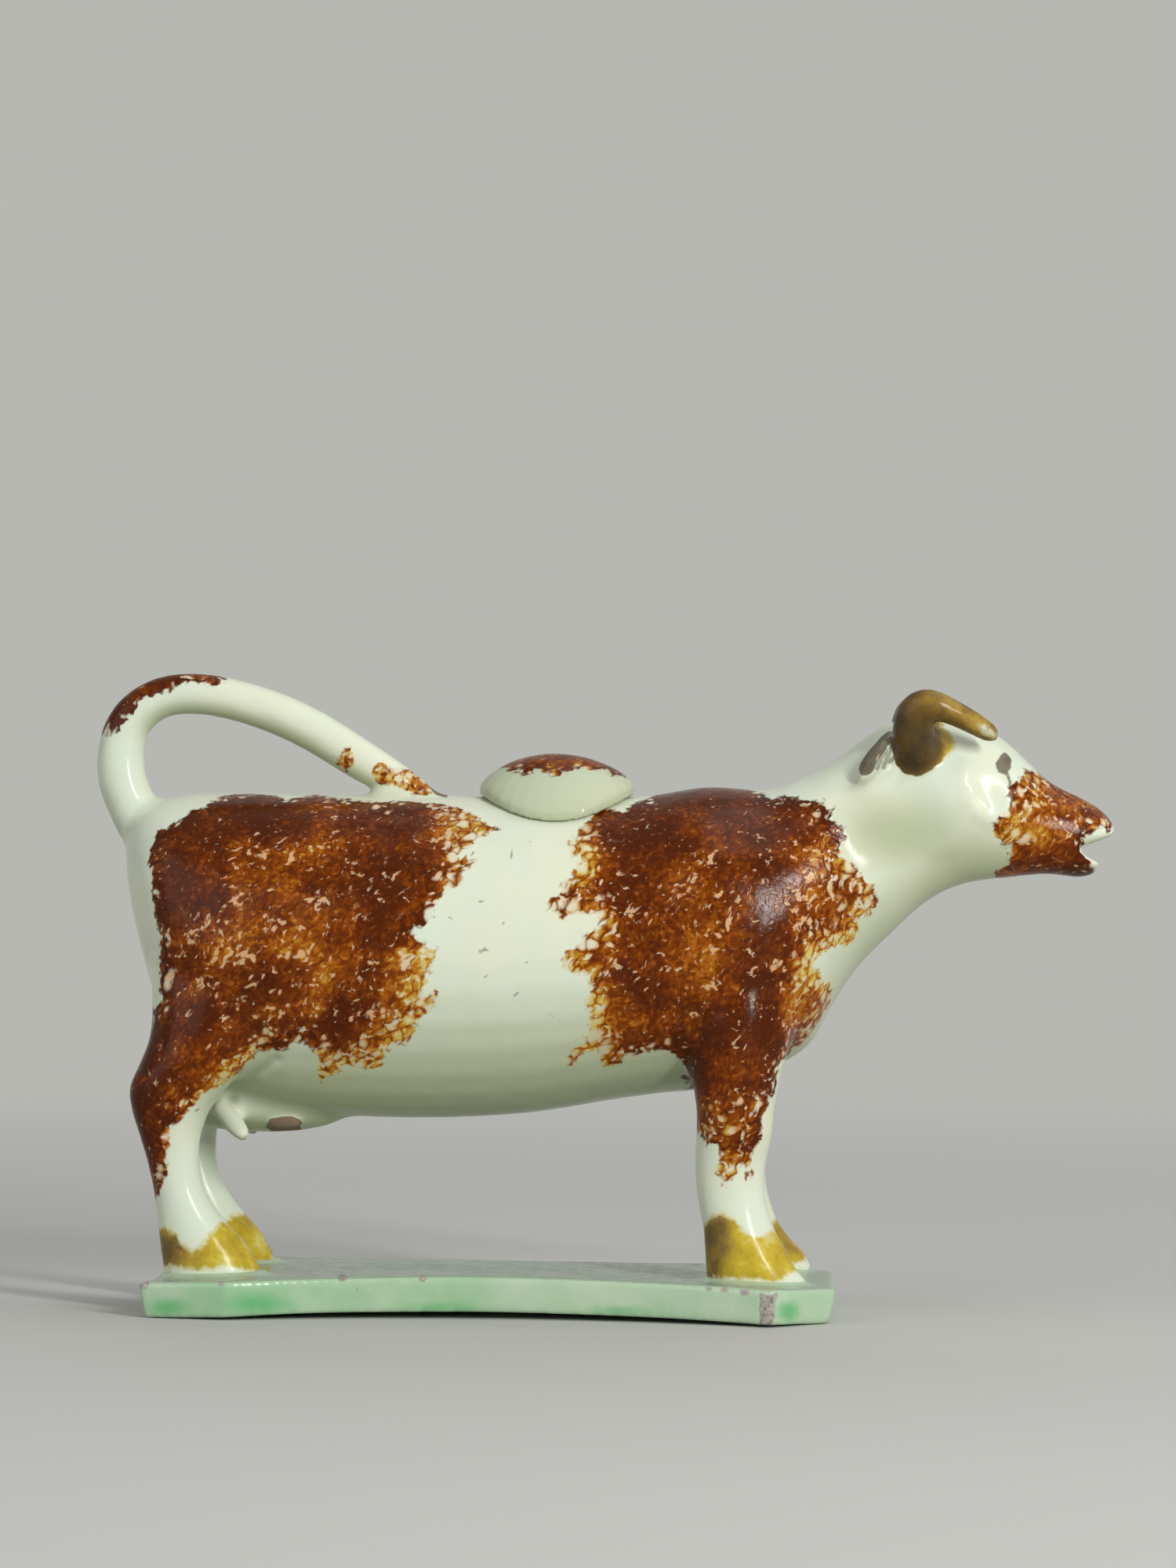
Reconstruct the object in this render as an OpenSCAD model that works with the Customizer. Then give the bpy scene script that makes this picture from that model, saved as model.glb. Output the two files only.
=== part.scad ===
// A glazed earthenware cow creamer: a hollow cow that stands on a slab plinth. Cream goes in through
// the hole in the back, under a loose lid, and pours from the open mouth. The looped tail is the handle.
// Each piece is one that the potter moulds or rolls by itself and lutes on before firing.
// The origin is the middle of the plinth's underside. +X runs toward the nose, +Z is up.

/* [Barrel] */
// Length of the barrel from the rump to the neck joint, along the back
barrel_len = 110; // [102:1:118]
// Depth of the barrel from the belly to the back
barrel_h = 55.2; // [51:0.2:59]
// Width of the barrel
barrel_w = 48; // [45:0.5:52]
// Thickness of the pressed wall
wall = 3; // [2.4:0.1:3.4]

/* [Neck and head] */
// Reach of the head from the neck joint to the tip of the upper lip
head_reach = 59.7; // [56:0.1:64]
// Rise from the bottom of the neck joint to the poll
head_rise = 59.4; // [57.4:0.2:61.4]
// Width of the head at the cheeks
head_w = 23.6; // [22.5:0.1:25.5]
// Thickness of the wall at the lips
lip_wall = 1.5; // [1.2:0.1:1.8]
// Depth of the notch between the lips
mouth_cut = 4.2; // [3.5:0.1:5]

/* [Legs] */
// Height of the belly above the plinth
leg_h = 26.8; // [24:0.2:30]
// Depth of a shank, fore and aft
leg_t = 12; // [11:0.1:13]
// Distance across, from the middle of a left leg to the middle of a right leg
leg_span = 27.6; // [26:0.2:30]
// Width of the cleft at the front of a hoof
cleft_w = 2.2; // [1.6:0.1:2.6]
// Length of the cleft
cleft_len = 7; // [5:0.5:8]
// Height of the cleft above the plinth
cleft_h = 4.5; // [3:0.5:5.5]

/* [Tail] */
// Length of the tail's loop, from the rump to its end on the back
tail_len = 53; // [49:1:56]
// Rise of the loop's middle line above the back
tail_rise = 17.5; // [15:0.5:20]
// Thickness of the tail
tail_d = 7.2; // [6:0.1:8]

/* [Horns and ears] */
// Length of a horn's forward sweep
horn_len = 12.6; // [11.5:0.1:13.5]
// Thickness of a horn where it bends
horn_d = 6.2; // [5.4:0.1:6.8]
// Length of an ear
ear_len = 13; // [12:0.1:14]
// Breadth of an ear
ear_w = 5.6; // [4.8:0.1:6.2]
// Thickness of an ear
ear_t = 3; // [2.6:0.1:3.4]

/* [Udder] */
// Length of the udder
udder_len = 30; // [27:0.5:32]
// Width of the udder
udder_w = 15; // [14:0.5:16]
// Drop of the udder below the belly line
udder_drop = 2.8; // [2.2:0.1:3.6]
// Length of a whole teat
teat_len = 7.6; // [6.8:0.1:8]
// Thickness of a teat
teat_d = 2.8; // [2.4:0.1:3.2]
// Height of the stub that a broken teat leaves
stub_h = 0.4; // [0.3:0.1:0.6]
// Length of that stub
stub_len = 5.2; // [4.6:0.1:5.8]

/* [Plinth] */
// Thickness of the plinth
plinth_t = 6; // [5:0.1:7]
// Margin of the plinth behind the hind hooves
rear_margin = 2.6; // [2.4:0.1:5]
// Margin of the plinth in front of the fore hooves
front_margin = 5.4; // [4:0.1:7]
// Margin of the plinth beside the hooves
side_margin = 6.6; // [5.5:0.1:8]
// Length of a cut corner at the tail end
rear_cant_len = 15; // [12:0.5:17]
// Depth of a cut corner at the tail end
rear_cant_depth = 2.8; // [2:0.1:4]
// Length of a cut corner at the head end
front_cant_len = 10.5; // [8:0.5:13]
// Depth of a cut corner at the head end
front_cant_depth = 9.5; // [7:0.5:11]
// Depth of the waist in each long side
waist = 8.5; // [6:0.5:9.5]
// Depth of the hollow in the tail end
rear_hollow = 3.4; // [2:0.1:3.6]

/* [Lid] */
// Width of the lid
lid_d = 26.4; // [25:0.1:28]
// Rise of the lid's dome above its rim
lid_dome = 5.9; // [5:0.1:7]
// Thickness of the lid's rim
lid_rim = 1.25; // [1:0.05:1.5]
// Gap between the lid and the back that it lies on
lid_gap = 0.4; // [0.35:0.05:0.6]
// Width of the filling hole
hole_d = 18; // [17:0.1:19.5]
// Gap all round between the filling hole and the lid's flange
flange_gap = 0.4; // [0.3:0.05:0.6]
// Thickness of the lid's flange
flange_t = 1.6; // [1.3:0.1:2]
// Depth of the flange below the back
flange_h = 4.2; // [3.5:0.1:5]

/* [Hidden] */

// Sides of the rings that make the hollow body, and of the thinner limbs
body_sides = 32;
limb_sides = 20;
thin_sides = 14;
// Rings between two ribs of a table
body_steps = 2;
limb_steps = 2;
// How far a cut runs past what it cuts
overrun = 1;
fine = 96;

glaze = [0.87, 0.90, 0.80];
sponge = [0.56, 0.27, 0.09];
ochre = [0.70, 0.54, 0.18];
manganese = [0.42, 0.37, 0.35];
mint = [0.66, 0.82, 0.68];

// Places of the legs along the barrel, and the height on a leg below which its ribs belong to the hoof
hind_share = 0.094;
fore_share = 0.951;
hoof_share = 0.2;

// Ribs of the barrel: places of the top and of the bottom along it and above the belly, and half width
barrel_shares = [
    [-0.002, 0.835, -0.002, 0.78, 0.06],
    [0, 0.88, 0.003, 0.7, 0.2],
    [0.009, 0.922, 0.014, 0.59, 0.35],
    [0.028, 0.957, 0.033, 0.45, 0.52],
    [0.055, 0.98, 0.059, 0.3, 0.68],
    [0.097, 0.996, 0.1, 0.168, 0.82],
    [0.16, 1.002, 0.163, 0.072, 0.92],
    [0.25, 1.003, 0.254, 0.016, 0.975],
    [0.378, 0.999, 0.382, 0, 1],
    [0.505, 0.999, 0.509, 0.001, 1],
    [0.632, 0.997, 0.637, 0.02, 0.995],
    [0.74, 0.996, 0.745, 0.058, 0.985],
    [0.832, 1.012, 0.837, 0.086, 0.97],
    [0.902, 1.036, 0.912, 0.105, 0.95],
    [0.99, 1.024, 1.026, 0.185, 0.89]];

// Ribs of the neck and head: top and bottom as shares of the reach and rise, half width as shares of
// the joint's and of the head's, and how much of the notch between the lips the rib has
head_shares = [
    [0.068, 0.805, 0.14, 0.057, 0.8, 0.2, 0],
    [0.152, 0.843, 0.193, 0.155, 0.56, 0.44, 0],
    [0.226, 0.89, 0.272, 0.278, 0.32, 0.68, 0],
    [0.3, 0.949, 0.366, 0.375, 0.12, 0.88, 0],
    [0.382, 0.989, 0.453, 0.458, 0, 1, 0],
    [0.482, 1, 0.543, 0.51, 0, 1.02, 0],
    [0.583, 0.98, 0.628, 0.53, 0, 0.98, 0],
    [0.668, 0.943, 0.698, 0.538, 0, 0.88, 0],
    [0.74, 0.88, 0.759, 0.546, 0, 0.76, 0],
    [0.811, 0.815, 0.814, 0.549, 0, 0.65, 0],
    [0.879, 0.78, 0.866, 0.544, 0, 0.58, 0.05],
    [0.934, 0.752, 0.915, 0.542, 0, 0.53, 0.4],
    [0.978, 0.717, 0.955, 0.55, 0, 0.47, 0.8],
    [1, 0.681, 0.972, 0.567, 0, 0.39, 1]];
// Share of the lips' height over which they part, measured from the middle
gape_share = 0.7;
// How the wall thins toward the lips, at each rib of the neck and head
lip_shares = [0, 0, 0, 0, 0, 0, 0.1, 0.2, 0.35, 0.5, 0.7, 0.9, 1, 1];

// Ribs of the legs, from inside the barrel down: height, rear, front, inner side and outer side
hind_leg_shares = [
    [2.16, -0.42, 1.33, -0.82, 0.22],
    [1.94, -0.42, 1.5, -0.82, 0.48],
    [1.79, -0.4, 1.56, -0.82, 0.58],
    [1.64, -0.38, 1.54, -0.78, 0.63],
    [1.49, -0.42, 1.42, -0.69, 0.62],
    [1.34, -0.55, 1.04, -0.61, 0.6],
    [1.2, -0.69, 0.7, -0.52, 0.54],
    [1.06, -0.65, 0.46, -0.43, 0.48],
    [0.9, -0.53, 0.33, -0.36, 0.42],
    [0.73, -0.41, 0.31, -0.33, 0.37],
    [0.57, -0.33, 0.38, -0.35, 0.35],
    [0.44, -0.29, 0.55, -0.38, 0.36],
    [0.3, -0.25, 0.82, -0.43, 0.4],
    [0.19, -0.22, 1.04, -0.48, 0.43],
    [0.07, -0.18, 1.19, -0.52, 0.47],
    [0, -0.17, 1.21, -0.52, 0.47]];
fore_leg_shares = [
    [2.24, -0.69, 0.64, -0.75, 0.31],
    [2.01, -0.73, 0.77, -0.75, 0.52],
    [1.83, -0.75, 0.81, -0.75, 0.62],
    [1.64, -0.74, 0.81, -0.7, 0.65],
    [1.49, -0.7, 0.74, -0.65, 0.63],
    [1.31, -0.58, 0.62, -0.57, 0.58],
    [1.12, -0.5, 0.54, -0.5, 0.53],
    [0.93, -0.525, 0.51, -0.44, 0.48],
    [0.78, -0.56, 0.44, -0.4, 0.45],
    [0.63, -0.54, 0.41, -0.38, 0.43],
    [0.5, -0.5, 0.46, -0.38, 0.43],
    [0.35, -0.43, 0.575, -0.4, 0.45],
    [0.24, -0.41, 0.725, -0.44, 0.48],
    [0.13, -0.39, 0.91, -0.48, 0.52],
    [0.04, -0.375, 0.97, -0.5, 0.525],
    [0, -0.37, 0.975, -0.5, 0.525]];

// The tail's middle line: place along its length, place up its rise, and thickness
tail_shares = [
    [0.11, -0.62, 1.25],
    [0.056, -0.38, 1.25],
    [0.005, -0.1, 1.18],
    [-0.026, 0.15, 1.17],
    [-0.026, 0.47, 1.1],
    [0.012, 0.74, 1.04],
    [0.103, 0.93, 0.98],
    [0.22, 0.968, 0.98],
    [0.347, 0.905, 0.98],
    [0.473, 0.787, 1],
    [0.6, 0.61, 1],
    [0.726, 0.38, 0.98],
    [0.852, 0.15, 0.9],
    [0.95, 0, 0.62],
    [1.02, -0.04, 0.25]];

// A horn's middle line from the poll: forward, up and outward, and thickness
horn_shares = [
    [-0.2, -0.62, -0.3, 1.35],
    [-0.25, -0.5, 0, 1.35],
    [-0.3, -0.26, 0.2, 1.2],
    [-0.27, 0.02, 0.36, 1.05],
    [-0.12, 0.13, 0.44, 0.92],
    [0.11, 0.08, 0.44, 0.76],
    [0.365, -0.04, 0.38, 0.64],
    [0.57, -0.17, 0.3, 0.54],
    [0.7, -0.26, 0.24, 0.4],
    [0.73, -0.28, 0.22, 0.2]];
// Where the horns leave the head, as a share of its half width
horn_root_share = 0.76;

// An ear's middle line from the poll: forward, up and outward, and breadth
ear_shares = [
    [-0.42, -0.3, -0.3, 0.5],
    [-0.5, -0.36, -0.12, 0.66],
    [-0.58, -0.44, 0.02, 0.82],
    [-0.66, -0.52, 0.12, 0.94],
    [-0.74, -0.61, 0.18, 1],
    [-0.82, -0.7, 0.22, 0.98],
    [-0.9, -0.79, 0.24, 0.86],
    [-0.97, -0.87, 0.25, 0.66],
    [-1.03, -0.93, 0.25, 0.4],
    [-1.06, -0.97, 0.25, 0.16]];

// Ribs of the udder: place along it, top, bottom and half width
udder_shares = [
    [-0.5, 2, 0.4, 0.3],
    [-0.44, 2.5, -0.3, 0.55],
    [-0.34, 3, -0.75, 0.8],
    [-0.22, 3, -0.95, 0.95],
    [-0.08, 3, -1, 1],
    [0.06, 3, -0.98, 1],
    [0.2, 3, -0.85, 0.92],
    [0.33, 3, -0.55, 0.76],
    [0.43, 2.5, -0.15, 0.52],
    [0.5, 2, 0.3, 0.26]];
// Place of the udder's middle along the barrel
udder_place_share = 0.225;
// Roots of the teats: place along the udder, depth in it and turn off its bottom, then a teat's lean
// forward and its spread outward, in degrees
teat_place_share = -0.27;
stub_place_share = 0.1;
teat_root_share = 0.9;
teat_turn = 75;
stub_turn = 47;
teat_lean = 45;
teat_spread = 28;
teat_shares = [0.95, 1, 1, 0.96, 0.88, 0.7, 0.4];

// Dome of the lid: places out from its middle
dome_shares = [0.08, 0.2, 0.4, 0.58, 0.72, 0.84, 0.93, 0.98, 1];
dome_power = 0.7;
// Underside of the lid, from the rim to the hollow inside its flange: place out and height
hollow_shares = [[1, 0], [0.95, 0], [0.85, 0.35], [0.6, 0.55], [0.15, 0.6]];
// Place of the lid's middle along the barrel
lid_place_share = 0.667;

belly_z = plinth_t + leg_h;
back_z = belly_z + barrel_h;

// Distances along the object from the rump, before it is centred on its plinth
hoof_rear = barrel_len * hind_share + leg_t * min([for (s = hind_leg_shares) if (s[0] < hoof_share) s[1]]);
hoof_front = barrel_len * fore_share + leg_t * max([for (s = fore_leg_shares) if (s[0] < hoof_share) s[2]]);
plinth_len = hoof_front - hoof_rear + rear_margin + front_margin;
rump_x = -plinth_len / 2 + rear_margin - hoof_rear;
hoof_out = leg_t * max([for (s = fore_leg_shares) if (s[0] < hoof_share) s[4]]);
plinth_w = leg_span + 2 * (hoof_out + side_margin);
hind_x = rump_x + barrel_len * hind_share;
fore_x = rump_x + barrel_len * fore_share;
lid_x = rump_x + barrel_len * lid_place_share;

// One point of a smooth curve through rows of values, between row i and the next
function between(rows, i, t) =
    let (a = rows[max(i - 1, 0)], b = rows[i], c = rows[i + 1], d = rows[min(i + 2, len(rows) - 1)])
    (2 * b + (c - a) * t + (2 * a - 5 * b + 4 * c - d) * t ^ 2 + (3 * b - a - 3 * c + d) * t ^ 3) / 2;
function smooth(rows, steps) =
    [for (i = [0:len(rows) - 2], k = [0:steps - 1]) between(rows, i, k / steps), rows[len(rows) - 1]];
// Direction of a line of points at one of them
function heading(points, i) =
    let (d = points[min(i + 1, len(points) - 1)] - points[max(i - 1, 0)]) d / norm(d);

// A rib is [top x, top z, bottom x, bottom z, half width, notch]. Its ring starts at the top.
function top_of(rib) = [rib[0], rib[1]];
function bottom_of(rib) = [rib[2], rib[3]];
function rib_ring(rib, sides) =
    let (middle = (top_of(rib) + bottom_of(rib)) / 2, half = (top_of(rib) - bottom_of(rib)) / 2)
    [for (k = [0:sides - 1]) let (a = 360 * k / sides)
        [middle[0] + half[0] * cos(a) - rib[5] * max(0, 1 - abs(cos(a)) / gape_share), rib[4] * sin(a),
         middle[1] + half[1] * cos(a)]];

// The same ribs moved in by the wall, square to the surface. The rib of the joint stays in its plane.
function inner_rib(ribs, i, walls, joint) =
    let (t = heading([for (r = ribs) top_of(r)], i), b = heading([for (r = ribs) bottom_of(r)], i),
         side = heading([for (r = ribs) [(r[0] + r[2]) / 2, r[4]]], i),
         chord = top_of(ribs[i]) - bottom_of(ribs[i]), w = walls[i],
         top_in = i == joint ? -chord / norm(chord) : [t[1], -t[0]],
         bottom_in = i == joint ? chord / norm(chord) : [-b[1], b[0]],
         top = top_of(ribs[i]) + w * top_in, bottom = bottom_of(ribs[i]) + w * bottom_in)
    [top[0], top[1], bottom[0], bottom[1], ribs[i][4] - w * (i == joint ? 1 : side[0]), ribs[i][5]];

barrel_ribs = smooth([for (s = barrel_shares)
    [rump_x + s[0] * barrel_len, belly_z + s[1] * barrel_h, rump_x + s[2] * barrel_len,
     belly_z + s[3] * barrel_h, s[4] * barrel_w / 2, 0]], body_steps);
barrel_last = len(barrel_ribs) - 1;
joint_rib = barrel_ribs[barrel_last];
barrel_inner = [for (i = [0:barrel_last])
    inner_rib(barrel_ribs, i, [for (r = barrel_ribs) wall], barrel_last)];

head_ribs = smooth(concat([joint_rib], [for (s = head_shares)
    [joint_rib[0] + s[0] * head_reach, joint_rib[3] + s[1] * head_rise, joint_rib[0] + s[2] * head_reach,
     joint_rib[3] + s[3] * head_rise, s[4] * joint_rib[4] + s[5] * head_w / 2, s[6] * mouth_cut]]),
    body_steps);
head_walls = smooth(concat([wall], [for (s = lip_shares) wall + s * (lip_wall - wall)]), body_steps);
head_inner = [for (i = [0:len(head_ribs) - 1]) inner_rib(head_ribs, i, head_walls, 0)];
poll = [joint_rib[0] + max([for (s = head_shares) s[1] == 1 ? s[0] : 0]) * head_reach,
    joint_rib[3] + head_rise];

// Triangles between successive rings of points, and from the last ring to the first if they close
function skin(rings, sides, closed) =
    [for (i = [0:rings - (closed ? 1 : 2)], k = [0:sides - 1])
        let (j = (i + 1) % rings, n = (k + 1) % sides)
        each [[i * sides + k, j * sides + n, j * sides + k], [i * sides + k, i * sides + n, j * sides + n]]];

function flat(rings) = [for (r = rings) each r];

// A closed solid through rings, with flat ends
module loft(rings) {
    sides = len(rings[0]);
    last = (len(rings) - 1) * sides;
    polyhedron(points = flat(rings), faces = concat(
        [for (k = [1:sides - 2]) [0, k + 1, k]],
        skin(len(rings), sides, false),
        [for (k = [1:sides - 2]) [last, last + k, last + k + 1]]));
}

// A ring that closes on itself, such as the wall of an open tube
module tube_wall(rings) {
    polyhedron(points = flat(rings), faces = skin(len(rings), len(rings[0]), true));
}

function rings_of(ribs, sides) = [for (r = ribs) rib_ring(r, sides)];
function backwards(list) = [for (i = [len(list) - 1:-1:0]) list[i]];

// The outer shape of the whole cow, which the pieces that are luted on it are fitted to
module cow_solid() {
    loft(rings_of(concat(barrel_ribs, [for (i = [1:len(head_ribs) - 1]) head_ribs[i]]), body_sides));
}

// A level ring of a leg. side is -1 for the near legs and 1 for the far ones.
function leg_ring(s, leg_x, side) =
    let (rear = s[1] * leg_t, front = s[2] * leg_t, inner = s[3] * leg_t, outer = s[4] * leg_t)
    [for (k = [0:limb_sides - 1]) let (a = 360 * k / limb_sides)
        [leg_x + (rear + front) / 2 + (front - rear) / 2 * cos(a),
         side * (leg_span / 2 + (inner + outer) / 2) + (outer - inner) / 2 * sin(a),
         plinth_t + s[0] * leg_h]];

// The cleft between the two toes, a wedge that points back from the tip of the hoof
module cleft(tip_x, side) {
    translate([tip_x, side * leg_span / 2, plinth_t])
        linear_extrude(cleft_h)
        polygon([[-cleft_len, 0], [overrun, -cleft_w / 2], [overrun, cleft_w / 2]]);
}

module leg_blank(shares, leg_x, side) {
    toe = max([for (s = shares) if (s[0] < hoof_share) s[2]]);
    difference() {
        loft([for (s = shares) leg_ring(s, leg_x, side)]);
        cleft(leg_x + toe * leg_t, side);
    }
}

module hind_leg(side) {
    color(sponge) difference() {
        leg_blank(hind_leg_shares, hind_x, side);
        cow_solid();
    }
}

module foreleg(side) {
    color(sponge) difference() {
        leg_blank(fore_leg_shares, fore_x, side);
        cow_solid();
    }
}

// A ring square to a bent line in space, r1 across it in the upright plane and r2 sideways
function turned_ring(points, i, r1, r2, sides) =
    let (t = heading(points, i), u = cross([0, 1, 0], t), n = u / norm(u), m = cross(t, n))
    [for (k = [0:sides - 1]) let (a = -360 * k / sides) points[i] + r1 * cos(a) * n + r2 * sin(a) * m];

module bent_limb(points, widths, thicks, sides) {
    loft([for (i = [0:len(points) - 1]) turned_ring(points, i, widths[i] / 2, thicks[i] / 2, sides)]);
}

module body_shell() {
    color(glaze) difference() {
        loft(concat(rings_of(barrel_ribs, body_sides), backwards(rings_of(barrel_inner, body_sides))));
        translate([lid_x, 0, back_z - barrel_h / 2])
            cylinder(d = hole_d, h = barrel_h / 2 + overrun, $fn = fine);
    }
}

module neck_and_head() {
    color(glaze)
        tube_wall(concat(rings_of(head_ribs, body_sides), backwards(rings_of(head_inner, body_sides))));
}

module tail_handle() {
    rows = smooth(tail_shares, limb_steps);
    widths = [for (s = rows) s[2] * tail_d];
    color(sponge) difference() {
        bent_limb([for (s = rows) [rump_x + s[0] * tail_len, 0, back_z + s[1] * tail_rise]],
            widths, widths, thin_sides);
        cow_solid();
    }
}

// A point beside the head, measured from the poll and from the horn's root
function beside_head(s, size, side) = [poll[0] + s[0] * size,
    side * (horn_root_share * head_w / 2 + s[2] * size), poll[1] + s[1] * size];

module horn_blank(side) {
    rows = smooth(horn_shares, limb_steps);
    widths = [for (s = rows) s[3] * horn_d];
    bent_limb([for (s = rows) beside_head(s, horn_len, side)], widths, widths, thin_sides);
}

module horn(side) {
    color(ochre) difference() {
        horn_blank(side);
        cow_solid();
    }
}

module ear(side) {
    rows = smooth(ear_shares, limb_steps);
    color(manganese) difference() {
        bent_limb([for (s = rows) beside_head(s, ear_len, side)],
            [for (s = rows) s[3] * ear_w], [for (s = rows) s[3] * ear_t], thin_sides);
        cow_solid();
        horn_blank(side);
    }
}

function udder_rib(s) =
    let (x = rump_x + barrel_len * udder_place_share + s[0] * udder_len)
    [x, belly_z + s[1] * udder_drop, x, belly_z + s[2] * udder_drop, s[3] * udder_w / 2, 0];

module udder_blank() loft(rings_of([for (s = udder_shares) udder_rib(s)], limb_sides));

module udder() {
    color(glaze) difference() {
        udder_blank();
        cow_solid();
    }
}

// A place in the udder: along it, and from its middle line toward its skin, turn degrees off the bottom
function in_udder(along_share, side, turn, out_share) =
    let (here = [for (c = [1:3]) lookup(along_share, [for (s = udder_shares) [s[0], s[c]]])],
         rib = udder_rib(concat([along_share], here)), half_h = (rib[1] - rib[3]) / 2)
    [rib[0], side * out_share * rib[4] * sin(turn), rib[3] + half_h - out_share * half_h * cos(turn)];

// A whole teat, which leans forward and outward as it hangs
module teat(side) {
    start = in_udder(teat_place_share, side, teat_turn, teat_root_share);
    lean = [sin(teat_lean), side * sin(teat_spread), -cos(teat_lean)];
    last = len(teat_shares) - 1;
    widths = [for (s = teat_shares) s * teat_d];
    bent_limb([for (i = [0:last]) start + teat_len * i / last * lean], widths, widths, thin_sides);
}

// What is left of a teat that has broken off: a low oval scar
module stub(side) {
    root = in_udder(stub_place_share, side, stub_turn, teat_root_share);
    skin_point = in_udder(stub_place_share, side, stub_turn, 1);
    out = (skin_point - root) / norm(skin_point - root);
    bent_limb([root, skin_point, skin_point + stub_h * out], [stub_len, stub_len, stub_len],
        [teat_d, teat_d, teat_d], thin_sides);
}

module teats() {
    color(glaze) difference() {
        union() {
            for (side = [-1, 1]) teat(side);
            stub(-1);
        }
        udder_blank();
        cow_solid();
    }
}

// Radius of an arc from its half chord and its depth
function arc_radius(half_chord, depth) = (half_chord ^ 2 + depth ^ 2) / (2 * depth);

module plinth() {
    half_l = plinth_len / 2;
    half_w = plinth_w / 2;
    rear = half_l - rear_cant_len;
    front = half_l - front_cant_len;
    side_radius = arc_radius((rear + front) / 2, waist);
    rear_radius = arc_radius(half_w - rear_cant_depth, rear_hollow);
    color(mint) difference() {
        linear_extrude(plinth_t) polygon([
            [-half_l, rear_cant_depth - half_w], [-rear, -half_w], [front, -half_w],
            [half_l, front_cant_depth - half_w], [half_l, half_w - front_cant_depth],
            [front, half_w], [-rear, half_w], [-half_l, half_w - rear_cant_depth]]);
        for (side = [-1, 1])
            translate([(front - rear) / 2, side * (half_w - waist + side_radius), -overrun])
            cylinder(r = side_radius, h = plinth_t + 2 * overrun, $fn = fine);
        translate([rear_hollow - half_l - rear_radius, 0, -overrun])
            cylinder(r = rear_radius, h = plinth_t + 2 * overrun, $fn = fine);
    }
}

// Height of the back over a place on it, from the ribs on each side
function back_at(x, y) =
    let (top = lookup(x, [for (r = barrel_ribs) [r[0], r[1]]]),
         bottom = lookup(x, [for (r = barrel_ribs) [r[0], r[3]]]),
         half_w = lookup(x, [for (r = barrel_ribs) [r[0], r[4]]]))
    (top + bottom) / 2 + (top - bottom) / 2 * sqrt(1 - (y / half_w) ^ 2);

// A ring of the lid: how far out it lies and how high above its own bed on the back
function lid_ring(radius, lift) =
    [for (k = [0:body_sides - 1]) let (a = 360 * k / body_sides, x = lid_x + radius * cos(a),
        y = radius * sin(a)) [x, y, back_at(x, y) + lid_gap + lift]];

module lid() {
    flange_d = hole_d - 2 * flange_gap;
    bore_d = flange_d - 2 * flange_t;
    bed_z = back_at(lid_x, 0);
    color(glaze) union() {
        loft(concat(
            [for (s = dome_shares) lid_ring(s * lid_d / 2, lid_rim + lid_dome * (1 - s ^ 2) ^ dome_power)],
            [for (s = hollow_shares) lid_ring(s[0] * (s[0] == 1 ? lid_d : bore_d) / 2, s[1] * lid_dome)]));
        difference() {
            translate([lid_x, 0, bed_z - flange_h])
                cylinder(d = flange_d, h = flange_h + lid_gap + lid_rim, $fn = fine);
            translate([lid_x, 0, bed_z - flange_h - overrun])
                cylinder(d = bore_d, h = flange_h + lid_gap + lid_rim + 2 * overrun, $fn = fine);
        }
    }
}

body_shell();
neck_and_head();
foreleg(-1);  // near_foreleg
foreleg(1);  // far_foreleg
hind_leg(-1);  // near_hind_leg
hind_leg(1);  // far_hind_leg
tail_handle();
horn(-1);  // near_horn
horn(1);  // far_horn
ear(-1);  // near_ear
ear(1);  // far_ear
udder();
teats();
plinth();
lid();
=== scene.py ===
"""Dresses the cow creamer: sponge-decorated pearl glaze, a green-glazed slab plinth and a loose lid.

The pieces that the potter luted together are taken from their solids, joined in the clay, smoothed where they
were luted, and given back as one glazed piece for each solid. Lengths inside the shaping code are millimetres.
"""

import logging
import math
from dataclasses import dataclass, field
from enum import Enum
from typing import Any, Optional, Sequence, Union

import bpy
import numpy as np
from mathutils import Matrix, Vector
from mathutils.bvhtree import BVHTree


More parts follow.
